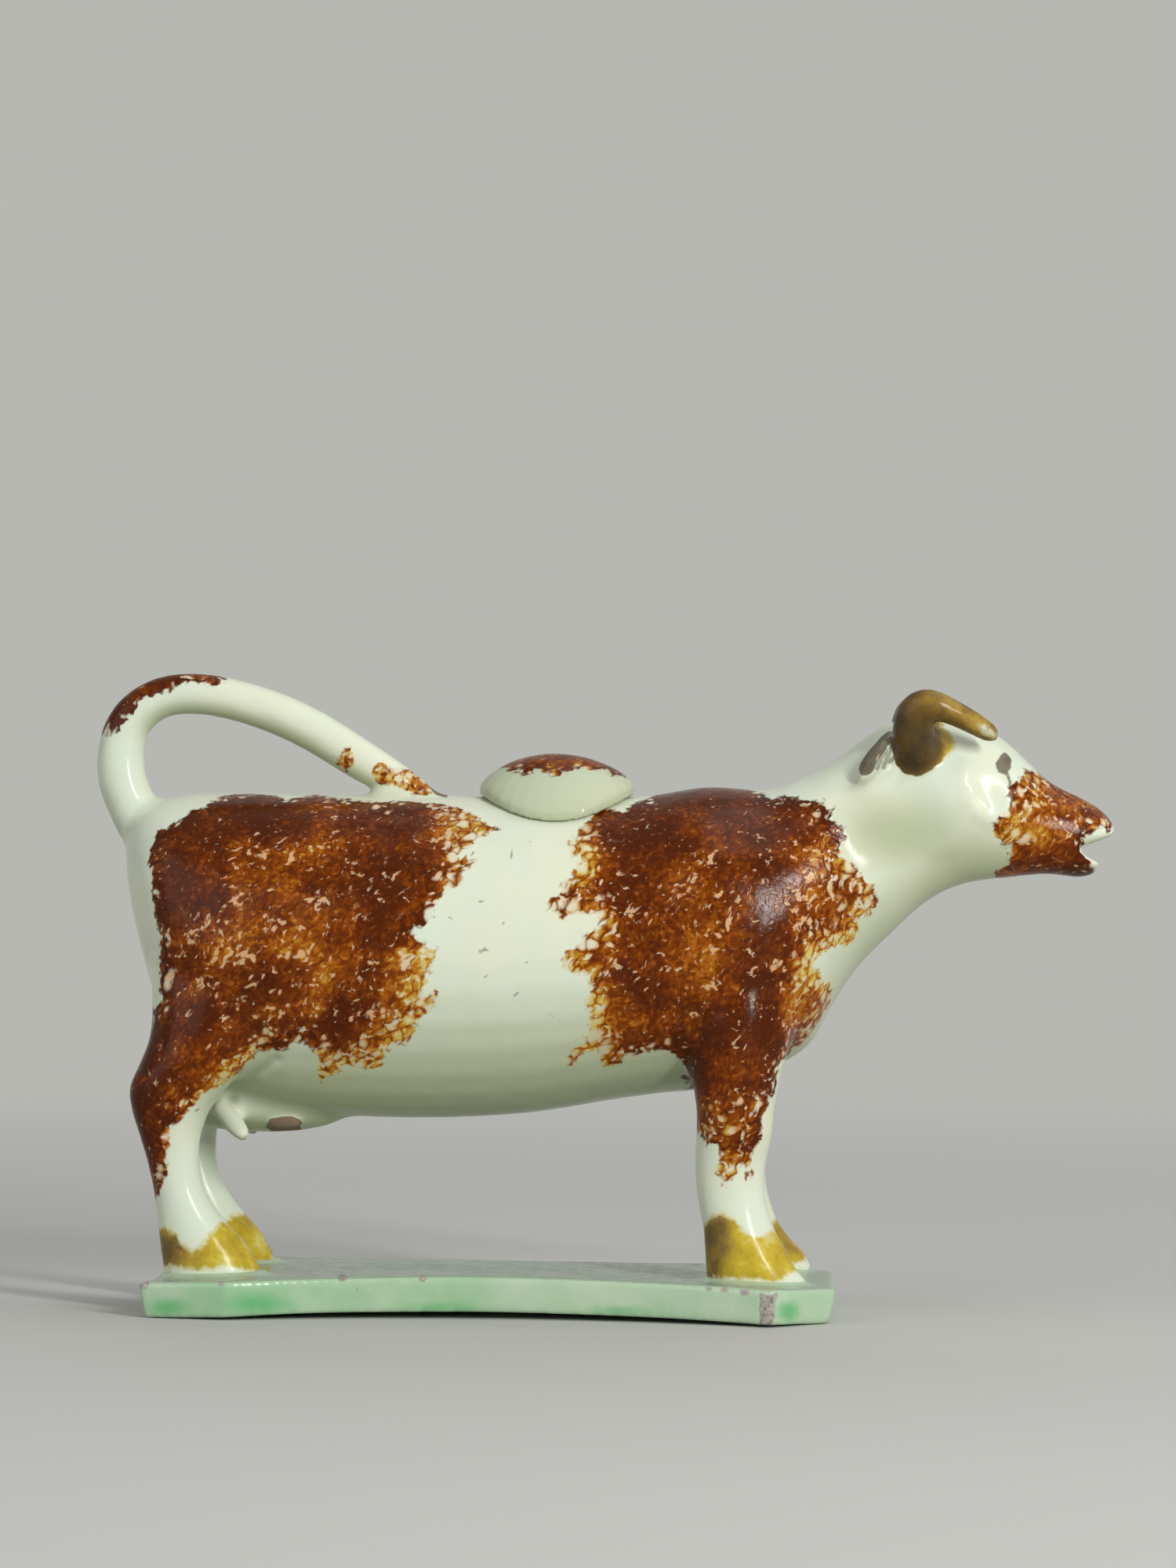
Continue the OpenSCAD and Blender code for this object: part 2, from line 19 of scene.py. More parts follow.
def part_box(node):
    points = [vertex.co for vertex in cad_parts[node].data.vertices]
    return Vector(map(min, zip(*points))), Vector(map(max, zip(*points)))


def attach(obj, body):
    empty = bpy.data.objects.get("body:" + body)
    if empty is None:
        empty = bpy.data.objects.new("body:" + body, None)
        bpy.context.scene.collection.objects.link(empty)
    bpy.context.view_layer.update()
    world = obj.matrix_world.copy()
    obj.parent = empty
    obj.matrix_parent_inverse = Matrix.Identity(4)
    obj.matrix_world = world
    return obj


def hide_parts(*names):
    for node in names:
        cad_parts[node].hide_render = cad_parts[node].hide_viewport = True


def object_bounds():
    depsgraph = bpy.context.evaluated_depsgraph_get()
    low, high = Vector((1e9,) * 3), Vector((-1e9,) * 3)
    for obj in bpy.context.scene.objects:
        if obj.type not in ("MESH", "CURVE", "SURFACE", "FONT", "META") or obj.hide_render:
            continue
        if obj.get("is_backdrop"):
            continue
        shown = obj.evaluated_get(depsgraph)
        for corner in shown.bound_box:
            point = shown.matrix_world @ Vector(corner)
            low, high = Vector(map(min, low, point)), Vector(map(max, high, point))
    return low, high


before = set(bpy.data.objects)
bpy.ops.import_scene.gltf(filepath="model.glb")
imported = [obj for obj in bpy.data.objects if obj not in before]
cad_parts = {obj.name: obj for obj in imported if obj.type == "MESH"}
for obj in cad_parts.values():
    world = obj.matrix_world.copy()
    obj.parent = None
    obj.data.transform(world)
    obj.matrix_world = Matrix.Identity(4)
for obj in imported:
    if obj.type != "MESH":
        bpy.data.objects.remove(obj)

log = logging.getLogger("creamer")

MM = 0.001
FAR_OUT = 9.0
Pixel = tuple[float, float]
Pair = tuple[float, float]
Triple = tuple[float, float, float]
Place = tuple[float, float, float]
Colour = tuple[float, float, float]
Outline = tuple[Pixel, ...]
Oval = tuple[float, float, float, float]
Feature = tuple[Outline, float, float]
Stops = tuple[tuple[float, Colour], ...]


class Flank(Enum):
    """The two sides of the cow. The value is the sign of Y on that side."""

    NEAR = -1.0
    FAR = 1.0


class Mark(Enum):
    """What a point of the glazed surface carries. The value names the attribute that holds it."""

    SPONGE = "sponge"
    OCHRE = "ochre"
    GREY = "grey"
    BARE = "bare"
    SCUFF = "scuff"
    # hollow: glaze pooled in hollows and along the lute lines, with painted shade in concave places, on the underside,
    # on the neck and on the lid
    POOL_AND_SHADE = "hollow"
    EDGE = "edge"
    POOL = "pool"
    # top: the plinth's top painted greyer and darker, painted shade
    TOP = "top"
    THIN = "thin"
    HORN = "horn"
    OPEN = "open"


def new_object(name: str, data: bpy.types.ID) -> bpy.types.Object:
    """Makes an object of some data and puts it in the scene."""
    thing = bpy.data.objects.new(name, data)
    bpy.context.scene.collection.objects.link(thing)
    return thing


# --------------------------------------------------------------------------------------------- the view


@dataclass(frozen=True)
class PhotoView:
    """The view of the photograph, fitted to the outline of the solids.

    The camera stands level and is turned a little to the left. The picture is then turned about one of its points.
    """

    size_px: Pixel = (1500.0, 2000.0)
    focal_px: float = 7430.0
    stand: Place = (54.44, -995.14, 90.0)
    yaw_deg: float = 2.2
    roll_deg: float = 0.6
    pivot: Pixel = (629.6, 1668.7)
    sensor: float = 36.0
    clip: Pair = (0.05, 20.0)

    @property
    def pixel_mm(self) -> float:
        """Gives what a pixel spans at the cow, in millimetres."""
        return abs(self.stand[1]) / self.focal_px

    def axes(self) -> tuple[np.ndarray, np.ndarray, np.ndarray]:
        """Gives the level camera's directions.

        Returns:
            Its right, up and forward directions.
        """
        c, s = math.cos(math.radians(self.yaw_deg)), math.sin(math.radians(self.yaw_deg))
        return np.array([c, s, 0.0]), np.array([0.0, 0.0, 1.0]), np.array([-s, c, 0.0])

    def turned(self, off: np.ndarray, back: bool = False) -> np.ndarray:
        """Turns the picture about its pivot.

        Args:
            off: Pixels, counted from the pivot.
            back: Whether to undo the turn.

        Returns:
            The turned pixels, counted from the pivot.
        """
        roll = math.radians(-self.roll_deg if back else self.roll_deg)
        c, s = math.cos(roll), math.sin(roll)
        return off @ np.array([[c, s], [-s, c]])

    def pixels(self, points: np.ndarray) -> np.ndarray:
        """Finds where points fall in the photograph.

        Args:
            points: Rows of x, y, z in millimetres.

        Returns:
            Rows of pixels, right and down from the photograph's top left corner.
        """
        right, up, forward = self.axes()
        rel = points - np.array(self.stand)
        flat = np.stack([rel @ right, -(rel @ up)], -1) * self.focal_px / (rel @ forward)[:, None]
        pivot = np.array(self.pivot)
        return pivot + self.turned(flat + np.array(self.size_px) / 2 - pivot)

    def ray(self, pixel: Pixel) -> tuple[Vector, Vector]:
        """Gives the line of sight through a pixel.

        Args:
            pixel: The pixel in the photograph.

        Returns:
            The camera's place in millimetres and the direction.
        """
        right, up, forward = self.axes()
        pivot = np.array(self.pivot)
        x, y = pivot + self.turned(np.array(pixel) - pivot, back=True) - np.array(self.size_px) / 2
        return Vector(self.stand), Vector(forward * self.focal_px + right * x - up * y).normalized()

    def place(self) -> bpy.types.Object:
        """Makes the scene's camera.

        Returns:
            The camera object.
        """
        right, up, forward = self.axes()
        off = np.array(self.pivot) - np.array(self.size_px) / 2
        slide = (off - self.turned(off)) / self.focal_px
        look = forward - right * slide[0] + up * slide[1]
        look /= np.linalg.norm(look)
        roll = math.radians(self.roll_deg)
        side = right * math.cos(roll) + up * math.sin(roll)
        side -= look * (side @ look)
        side /= np.linalg.norm(side)
        data = bpy.data.cameras.new("photo_view")
        data.sensor_width = self.sensor
        data.lens = self.focal_px * self.sensor / self.size_px[1]
        data.clip_start, data.clip_end = self.clip
        camera = new_object("photo_view", data)
        turn = Matrix((side, np.cross(side, look), -look)).transposed().to_4x4()
        camera.matrix_world = Matrix.Translation(Vector(self.stand) * MM) @ turn
        bpy.context.scene.camera = camera
        return camera


# --------------------------------------------------------------------------------------- the soft clay


def column(items: Any, name: str, wide: int = 1, kind: Any = float) -> np.ndarray:
    """Reads a property of all the items of a mesh.

    Args:
        items: The mesh's points, edges, corners or faces.
        name: The property.
        wide: How many numbers it has.
        kind: The numbers' type.

    Returns:
        A number, or a row of numbers, for each item.
    """
    flat = np.empty(len(items) * wide, dtype=kind)
    items.foreach_get(name, flat)
    return flat if wide == 1 else flat.reshape(-1, wide)


def round_off(mesh: bpy.types.Mesh) -> None:
    """Shades a mesh smoothly."""
    mesh.polygons.foreach_set("use_smooth", np.ones(len(mesh.polygons), dtype=bool))


class Clay:
    """A mesh that is shaped as arrays of points in millimetres."""

    def __init__(self, mesh: bpy.types.Mesh) -> None:
        """Reads a mesh.

        Args:
            mesh: The mesh, in metres, which the clay then owns.
        """
        self.mesh = mesh
        self.points = column(mesh.vertices, "co", 3) / MM
        ends = column(mesh.edges, "vertices", 2, np.int64)
        self.head = np.concatenate([ends[:, 0], ends[:, 1]])
        self.tail = np.concatenate([ends[:, 1], ends[:, 0]])
        self.degree = np.maximum(np.bincount(self.head, minlength=len(self.points)), 1)

    def average(self, values: np.ndarray) -> np.ndarray:
        """Gives the mean over each point's neighbours.

        Args:
            values: One number or one row for each point.

        Returns:
            The means, in the same shape.
        """
        rows = values.reshape(len(values), -1)
        sums = [np.bincount(self.head, weights=part[self.tail], minlength=len(rows)) for part in rows.T]
        return (np.stack(sums, -1) / self.degree[:, None]).reshape(values.shape)

    def relax(self, values: np.ndarray, rounds: int, weight: Optional[np.ndarray] = None) -> np.ndarray:
        """Evens values out over the surface.

        Args:
            values: One number or one row for each point.
            rounds: How many times each point moves half way to its neighbours' mean.
            weight: How far each point takes part, from 0 to 1.

        Returns:
            The evened values.
        """
        share = 0.5 if weight is None else 0.5 * weight
        if weight is not None and values.ndim > 1:
            share = share[:, None]
        for _ in range(rounds):
            values = values + share * (self.average(values) - values)
        return values

    def normals(self) -> np.ndarray:
        """Gives the outward direction at each point of the shape as it now is."""
        self.mesh.vertices.foreach_set("co", (self.points * MM).ravel())
        self.mesh.update()
        return column(self.mesh.vertex_normals, "vector", 3, np.float32).astype(float)

    def smooth(self, rounds: int, weight: Optional[np.ndarray] = None) -> None:
        """Takes the facets off the shape and keeps its bulk.

        Args:
            rounds: How strongly, as rounds of evening out.
            weight: How far each point takes part, from 0 to 1.
        """
        before, out = self.points, self.normals()
        after = self.relax(before, rounds, weight)
        lost = ((after - before) * out).sum(1)
        self.points = after - self.relax(lost, 2 * rounds, weight)[:, None] * out

    def tree(self) -> BVHTree:
        """Builds a search tree of the shape, in millimetres."""
        corners = [tuple(p.vertices) for p in self.mesh.polygons]
        return BVHTree.FromPolygons([tuple(p) for p in self.points], corners)

    def edges(self) -> np.ndarray:
        """Gives the length of each edge, from its head and again from its tail."""
        return np.linalg.norm(self.points[self.head] - self.points[self.tail], axis=1)

    def steepness(self, values: np.ndarray) -> np.ndarray:
        """Gives how fast values change over the surface, for each millimetre."""
        slope = ((values[self.head] - values[self.tail]) / np.maximum(self.edges(), 1e-6)) ** 2
        mean = np.bincount(self.head, weights=slope, minlength=len(values)) / self.degree
        return self.relax(np.sqrt(2 * mean), 3)

    def bend(self, out: np.ndarray, grain: float) -> np.ndarray:
        """Gives how far each point lies below its neighbours, more than 0 in a hollow, for each square millimetre."""
        return ((self.average(self.points) - self.points) * out).sum(1) / grain ** 2

    def hold(self, marks: dict[Mark, Union[float, np.ndarray]]) -> None:
        """Stores marks on the mesh.

        Args:
            marks: For each mark one value for each point, or one value for all.
        """
        for mark, values in marks.items():
            layer = self.mesh.attributes.new(mark.value, "FLOAT", "POINT")
            layer.data.foreach_set("value", (np.zeros(len(self.points)) + values).astype(np.float32))


def gathered(nodes: Sequence[str], unit: float) -> tuple[list[tuple], list[tuple], list[int]]:
    """Gathers the surfaces of solids.

    Args:
        nodes: The solids' names.
        unit: The unit of the points, in metres.

    Returns:
        The points, the corners of each face, and the number of each face's solid.
    """
    points, corners, owner = [], [], []
    for number, node in enumerate(nodes):
        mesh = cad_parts[node].data
        start = len(points)
        points += [tuple(v.co / unit) for v in mesh.vertices]
        corners += [tuple(start + i for i in p.vertices) for p in mesh.polygons]
        owner += [number] * len(mesh.polygons)
    return points, corners, owner


def fused(name: str, nodes: Sequence[str], grain: float) -> Clay:
    """Joins copies of solids into one even skin.

    Args:
        name: The name of the new mesh.
        nodes: The solids' names.
        grain: The grain of the skin, in millimetres.

    Returns:
        The joined clay.
    """
    points, corners, _ = gathered(nodes, 1.0)
    rough = bpy.data.meshes.new(name + "_rough")
    rough.from_pydata(points, [], corners)
    helper = new_object(name + "_rough", rough)
    press = helper.modifiers.new("press", "REMESH")
    press.mode = "VOXEL"
    press.voxel_size = grain * 1.0 * MM
    bpy.context.view_layer.update()
    mesh = bpy.data.meshes.new_from_object(helper.evaluated_get(bpy.context.evaluated_depsgraph_get()))
    mesh.name = name
    bpy.data.objects.remove(helper)
    bpy.data.meshes.remove(rough)
    return Clay(mesh)


def solids_tree(nodes: Sequence[str]) -> tuple[BVHTree, np.ndarray]:
    """Builds one search tree of several solids.

    Args:
        nodes: The solids' names.

    Returns:
        The tree, in millimetres, and for each of its faces the number of the solid.
    """
    points, corners, owner = gathered(nodes, MM)
    return BVHTree.FromPolygons(points, corners), np.array(owner)


def to_segment(points: np.ndarray, a: np.ndarray, b: np.ndarray) -> np.ndarray:
    """Measures the distance from points to a straight stretch from a to b."""
    along = b - a
    t = np.clip(((points - a) @ along) / max(float(along @ along), 1e-12), 0, 1)
    return np.linalg.norm(points - a - t[:, None] * along, axis=1)


def to_line(points: np.ndarray, corners: np.ndarray) -> np.ndarray:
    """Measures the distance from points to a corner, or to a line of straight stretches between corners."""
    return np.min([to_segment(points, a, b) for a, b in zip(corners, [*corners[1:], corners[-1]])], axis=0)


def inside_outline(points: np.ndarray, outline: Sequence[Pixel]) -> np.ndarray:
    """Measures how far points lie inside a closed outline.

    Args:
        points: Rows of two coordinates.
        outline: The outline's corners, in order.

    Returns:
        The distance to the outline, positive inside it and negative outside.
    """
    corners = np.array(outline, dtype=float)
    within = np.zeros(len(points), dtype=bool)
    for a, b in zip(corners, np.roll(corners, -1, axis=0)):
        crosses = (a[1] > points[:, 1]) != (b[1] > points[:, 1])
        rise = b[1] - a[1] if b[1] != a[1] else 1e-9
        within ^= crosses & (points[:, 0] < (b[0] - a[0]) * (points[:, 1] - a[1]) / rise + a[0])
    nearest = to_line(points, np.concatenate([corners, corners[:1]]))
    return np.where(within, nearest, -nearest)


def step(values: np.ndarray, low: float, high: float) -> np.ndarray:
    """Rises smoothly from 0 at low to 1 at high."""
    t = np.clip((values - low) / (high - low), 0, 1)
    return t * t * (3 - 2 * t)


def ripple(points: np.ndarray, wave: float, seed: float) -> np.ndarray:
    """Gives a soft unevenness over the points, between about -1 and 1.

    Args:
        points: Rows of coordinates in millimetres.
        wave: The length of a wave, in millimetres.
        seed: A number that shifts the pattern.

    Returns:
        One value for each point.
    """
    total = np.zeros(len(points))
    for k in range(5):
        turn = seed * 1.7 + k * 2.4
        way = np.array([math.cos(turn), math.sin(turn * 1.3), math.cos(turn * 0.7 + 1)][: points.shape[1]])
        way /= np.linalg.norm(way)
        total += np.sin(points @ way * 2 * math.pi / (wave * (1 + 0.17 * k)) + turn * 3)
    return total / 3


# ------------------------------------------------------------------------------- the painted decoration


@dataclass(frozen=True)
class Decoration:
    """Outlines of the painted and worn places, and of painted shade and light, in pixels of the photograph, near side.
    """

    rump: Outline = (
        (188, 1095), (190, 1083), (204, 1064), (225, 1048), (250, 1033), (287, 1016), (306, 1012), (338, 1012),
        (367, 1020), (400, 1014), (442, 1019), (483, 1023), (525, 1022), (567, 1025), (588, 1032), (608, 1044),
        (635, 1055), (612, 1066), (600, 1079), (588, 1090), (607, 1097), (590, 1122), (567, 1137), (554, 1160),
        (537, 1178), (527, 1193), (544, 1206), (563, 1207), (552, 1231), (541, 1252), (533, 1272), (556, 1267),
        (546, 1285), (527, 1306), (517, 1323), (500, 1339), (483, 1356), (458, 1361), (433, 1366), (410, 1377),
        (406, 1360), (408, 1347), (396, 1335), (375, 1329), (354, 1335), (333, 1347), (318, 1357), (300, 1371),
        (283, 1385), (262, 1393), (248, 1407), (238, 1420), (223, 1435), (216, 1453), (216, 1477), (212, 1500),
        (204, 1520), (200, 1533), (193, 1533), (186, 1506), (150, 1500), (138, 1420), (146, 1330), (175, 1292),
        (200, 1283), (205, 1276), (205, 1235), (203, 1193), (197, 1152), (192, 1110))
    shoulder: Outline = (
        (738, 1062), (762, 1039), (766, 1030), (795, 1033), (818, 1023), (841, 1013), (864, 1006), (895, 990),
        (930, 990), (957, 1006), (984, 1017), (1007, 1013), (1022, 1018), (1041, 1020), (1065, 1031), (1059, 1043),
        (1076, 1054), (1077, 1081), (1066, 1096), (1088, 1100), (1103, 1116), (1114, 1138), (1118, 1154),
        (1107, 1164), (1095, 1170), (1099, 1185), (1088, 1200), (1068, 1208), (1049, 1216), (1034, 1226),
        (1042, 1239), (1059, 1254), (1061, 1277), (1046, 1300), (1030, 1324), (1007, 1343), (995, 1356),
        (989, 1380), (985, 1397), (978, 1416), (972, 1436), (969, 1461), (961, 1472), (960, 1497), (956, 1506),
        (951, 1497), (950, 1483), (944, 1486), (936, 1499), (925, 1513), (914, 1504), (908, 1494), (917, 1486),
        (918, 1469), (912, 1458), (903, 1460), (895, 1449), (878, 1435), (874, 1400), (876, 1368), (868, 1350),
        (853, 1343), (834, 1339), (807, 1345), (782, 1358), (770, 1358), (770, 1343), (745, 1345), (728, 1358),
        (723, 1346), (741, 1331), (743, 1316), (749, 1293), (755, 1262), (751, 1247), (738, 1241), (724, 1230),
        (720, 1215), (738, 1208), (755, 1189), (764, 1172), (750, 1165), (730, 1166), (716, 1175), (703, 1169),
        (693, 1150), (714, 1135), (730, 1120), (741, 1104), (740, 1090), (727, 1090), (715, 1075))
    muzzle: Outline = (
        (1300, 986), (1314, 984), (1336, 970), (1383, 985), (1430, 1030), (1432, 1060), (1414, 1059), (1398, 1062),
        (1387, 1069), (1381, 1080), (1380, 1086), (1387, 1092), (1394, 1103), (1400, 1112), (1404, 1130),
        (1320, 1135), (1268, 1130), (1272, 1114), (1286, 1103), (1282, 1091), (1284, 1079), (1271, 1066),
        (1268, 1049), (1282, 1037), (1292, 1028), (1288, 1012), (1286, 1003), (1295, 997))
    tail_arc: Outline = (
        (128, 940), (112, 935), (125, 890), (160, 855), (205, 838), (262, 838), (298, 846), (292, 862), (270, 872),
        (246, 870), (226, 880), (205, 885), (183, 897), (166, 914), (150, 931))
    tail_end: Outline = (
        (474, 986), (484, 977), (500, 984), (526, 984), (542, 995), (551, 1003), (544, 1013), (526, 1011),
        (511, 997), (497, 993), (488, 999))
    tail_dab: Outline = ((443, 958), (449, 967), (447, 976), (436, 981), (434, 974), (441, 969))
    lid_cap: Outline = (
        (636, 977), (655, 984), (664, 990), (674, 989), (685, 981), (697, 983), (707, 991), (718, 986), (731, 985),
        (742, 979), (754, 985), (770, 984), (783, 988), (800, 993), (812, 980), (760, 940), (660, 940))
    hind_hoof: Outline = (
        (185, 1566), (196, 1566), (210, 1566), (223, 1574), (236, 1590), (245, 1597), (258, 1588), (270, 1572),
        (282, 1559), (303, 1566), (325, 1580), (345, 1600), (350, 1618), (325, 1622), (297, 1617), (250, 1619),
        (203, 1614), (185, 1614))
    fore_hoof: Outline = (
        (885, 1574), (901, 1561), (908, 1551), (922, 1547), (936, 1558), (947, 1569), (956, 1577), (969, 1579),
        (981, 1572), (992, 1567), (1008, 1576), (1026, 1592), (1045, 1612), (1036, 1624), (1012, 1622), (989, 1636),
        (967, 1632), (905, 1631), (885, 1631))
    horn_root: Outline = (
        (1144, 930), (1150, 962), (1158, 980), (1170, 982), (1178, 974), (1189, 968), (1208, 962), (1219, 953),
        (1215, 941), (1206, 929), (1185, 900), (1150, 900))
    eye: Outline = ((1282, 959), (1290, 967), (1289, 980), (1281, 988), (1273, 985), (1270, 974), (1275, 964))
    # A dark stroke under the upper lip, partly a painted line and partly painted shade in the mouth slit.
    lip_line: Outline = ((1392, 1078), (1403, 1073), (1412, 1070), (1420, 1068))
    eye_line: Outline = ((1284, 986), (1287, 994), (1289, 1000), (1285, 1006))
    ear_leaf: Outline = (
        (1097, 974), (1095, 983), (1099, 989), (1107, 989), (1114, 983), (1119, 973), (1125, 962), (1133, 950),
        (1144, 940), (1141, 932), (1131, 934), (1121, 943), (1111, 955), (1103, 965))
    strands: tuple[Outline, ...] = (
        ((1134, 935), (1126, 941), (1119, 952)), ((1130, 955), (1124, 967), (1119, 980)),
        ((1140, 948), (1133, 962), (1127, 979)), ((1147, 950), (1143, 963), (1135, 972)))
    tail_chip: Outline = ((552, 1000), (572, 1012), (570, 1018), (556, 1014), (547, 1003))
    scar: Outline = ((339, 1437), (347, 1428), (366, 1425), (380, 1430), (384, 1440), (376, 1447), (352, 1448))
    thin: tuple[Outline, ...] = (
        ((996, 1345), (1010, 1290), (1024, 1245), (1060, 1240), (1075, 1290), (1040, 1335), (1005, 1365)),
        ((690, 1060), (760, 1055), (772, 1120), (790, 1180), (780, 1260), (790, 1360), (700, 1370), (680, 1150)),
        ((545, 1015), (640, 1040), (630, 1075), (600, 1120), (565, 1140), (560, 1070)),
        ((500, 1210), (570, 1200), (560, 1300), (470, 1385), (400, 1390), (395, 1350), (440, 1330), (490, 1280)),
        ((300, 1340), (330, 1330), (300, 1390), (230, 1460), (215, 1500), (200, 1440), (250, 1380)),
        ((1040, 1085), (1110, 1090), (1125, 1160), (1080, 1225), (1050, 1200), (1062, 1150)),
        ((262, 1578), (300, 1566), (338, 1600), (322, 1618), (262, 1612)),
        ((935, 1562), (985, 1578), (1004, 1622), (985, 1634), (940, 1612)),
        ((428, 945), (470, 960), (560, 985), (562, 1022), (470, 1002), (428, 985)),
        # Lighter ochre on the horn's upper side, partly thinner paint and partly a painted highlight along its top.
        ((1178, 874), (1215, 882), (1278, 928), (1276, 952), (1236, 930), (1204, 912), (1180, 900)),
        ((905, 1462), (965, 1462), (965, 1520), (900, 1520)),
        ((1280, 1030), (1330, 1060), (1320, 1085), (1270, 1070)))
    dense: tuple[Outline, ...] = (
        ((800, 1040), (880, 1005), (960, 1010), (1020, 1040), (1030, 1110), (960, 1130), (860, 1110), (800, 1080)),
        ((205, 1075), (250, 1035), (330, 1020), (345, 1060), (290, 1130), (230, 1190), (200, 1160)),
        # Thick sponging on the haunch, which also stands for painted shade on its left-facing side.
        ((180, 1296), (262, 1284), (288, 1335), (225, 1440), (160, 1440)),
        ((830, 1280), (930, 1290), (920, 1400), (880, 1390)),
        ((1144, 908), (1182, 912), (1198, 935), (1192, 960), (1170, 990), (1146, 968)),
        ((1290, 1085), (1390, 1085), (1400, 1125), (1290, 1125)),
        ((480, 1060), (540, 1090), (540, 1180), (480, 1200)))
    openings: tuple[Oval, ...] = (
        (257, 1178, 18, 22), (294, 1220, 28, 17), (262, 1258, 23, 14), (331, 1086, 22, 7), (384, 1099, 18, 6),
        (404, 1150, 14, 8), (388, 1190, 15, 9), (376, 1219, 20, 9), (466, 1292, 18, 13), (522, 1224, 17, 14),
        (348, 1292, 20, 8), (318, 1122, 10, 12), (420, 1236, 10, 8), (300, 1152, 8, 10), (500, 1120, 10, 8),
        (908, 1098, 15, 15), (931, 1178, 8, 9), (912, 1255, 12, 10), (857, 1240, 13, 8), (868, 1100, 12, 8),
        (797, 1113, 8, 9), (882, 1130, 12, 10), (870, 1290, 16, 14), (1030, 1115, 9, 9), (1020, 1160, 12, 22),
        (800, 1150, 12, 20), (905, 1210, 10, 9), (938, 1330, 6, 14), (1322, 1030, 10, 6), (1350, 1048, 12, 6))
    # Painted shade on the neck, where the head shades it from the key light.
    shaded: tuple[Oval, ...] = ((1150, 1062, 88, 52), (1215, 1094, 60, 30))
    pale: tuple[Outline, ...] = (
        ((1302, 982), (1348, 980), (1420, 1036), (1402, 1058), (1340, 1060), (1296, 1050)),
        ((893, 1390), (967, 1390), (962, 1450), (898, 1450)),
        ((1016, 1085), (1056, 1075), (1066, 1160), (1056, 1235), (1018, 1290), (1008, 1180)))
    light: tuple[Outline, ...] = (
        ((300, 1080), (345, 1060), (430, 1075), (455, 1160), (425, 1260), (400, 1330), (300, 1340), (285, 1200)),
        ((240, 1190), (300, 1190), (300, 1290), (240, 1300)),
        ((860, 1080), (960, 1085), (950, 1200), (880, 1240), (850, 1160)),
        ((850, 1200), (940, 1210), (930, 1320), (860, 1300)),
        ((1000, 1060), (1075, 1060), (1075, 1250), (1010, 1340), (985, 1200)))
    # Painted shade: thicker, darker ochre on the heels, the backs of the hooves away from the key light.
    heel_shade: tuple[Outline, ...] = (
        ((180, 1560), (230, 1572), (240, 1598), (222, 1616), (180, 1616)),
        ((880, 1545), (922, 1545), (928, 1590), (912, 1634), (880, 1634)))
    horn_chip: Outline = ((1248, 925), (1258, 926), (1271, 938), (1267, 942), (1252, 935))
    scuffs: tuple[Outline, ...] = (
        ((573, 1170), (578, 1173)), ((611, 1150), (617, 1149)), ((609, 1213), (622, 1212)),
        ((612, 1216), (619, 1209)), ((655, 1078), (652, 1094)), ((618, 1247), (622, 1244)),
        ((655, 1271), (662, 1265)), ((700, 1292), (705, 1297)), ((248, 1418), (254, 1414)),
        ((600, 1092), (605, 1086)), ((640, 1180), (644, 1176)), ((668, 1226), (674, 1228)))


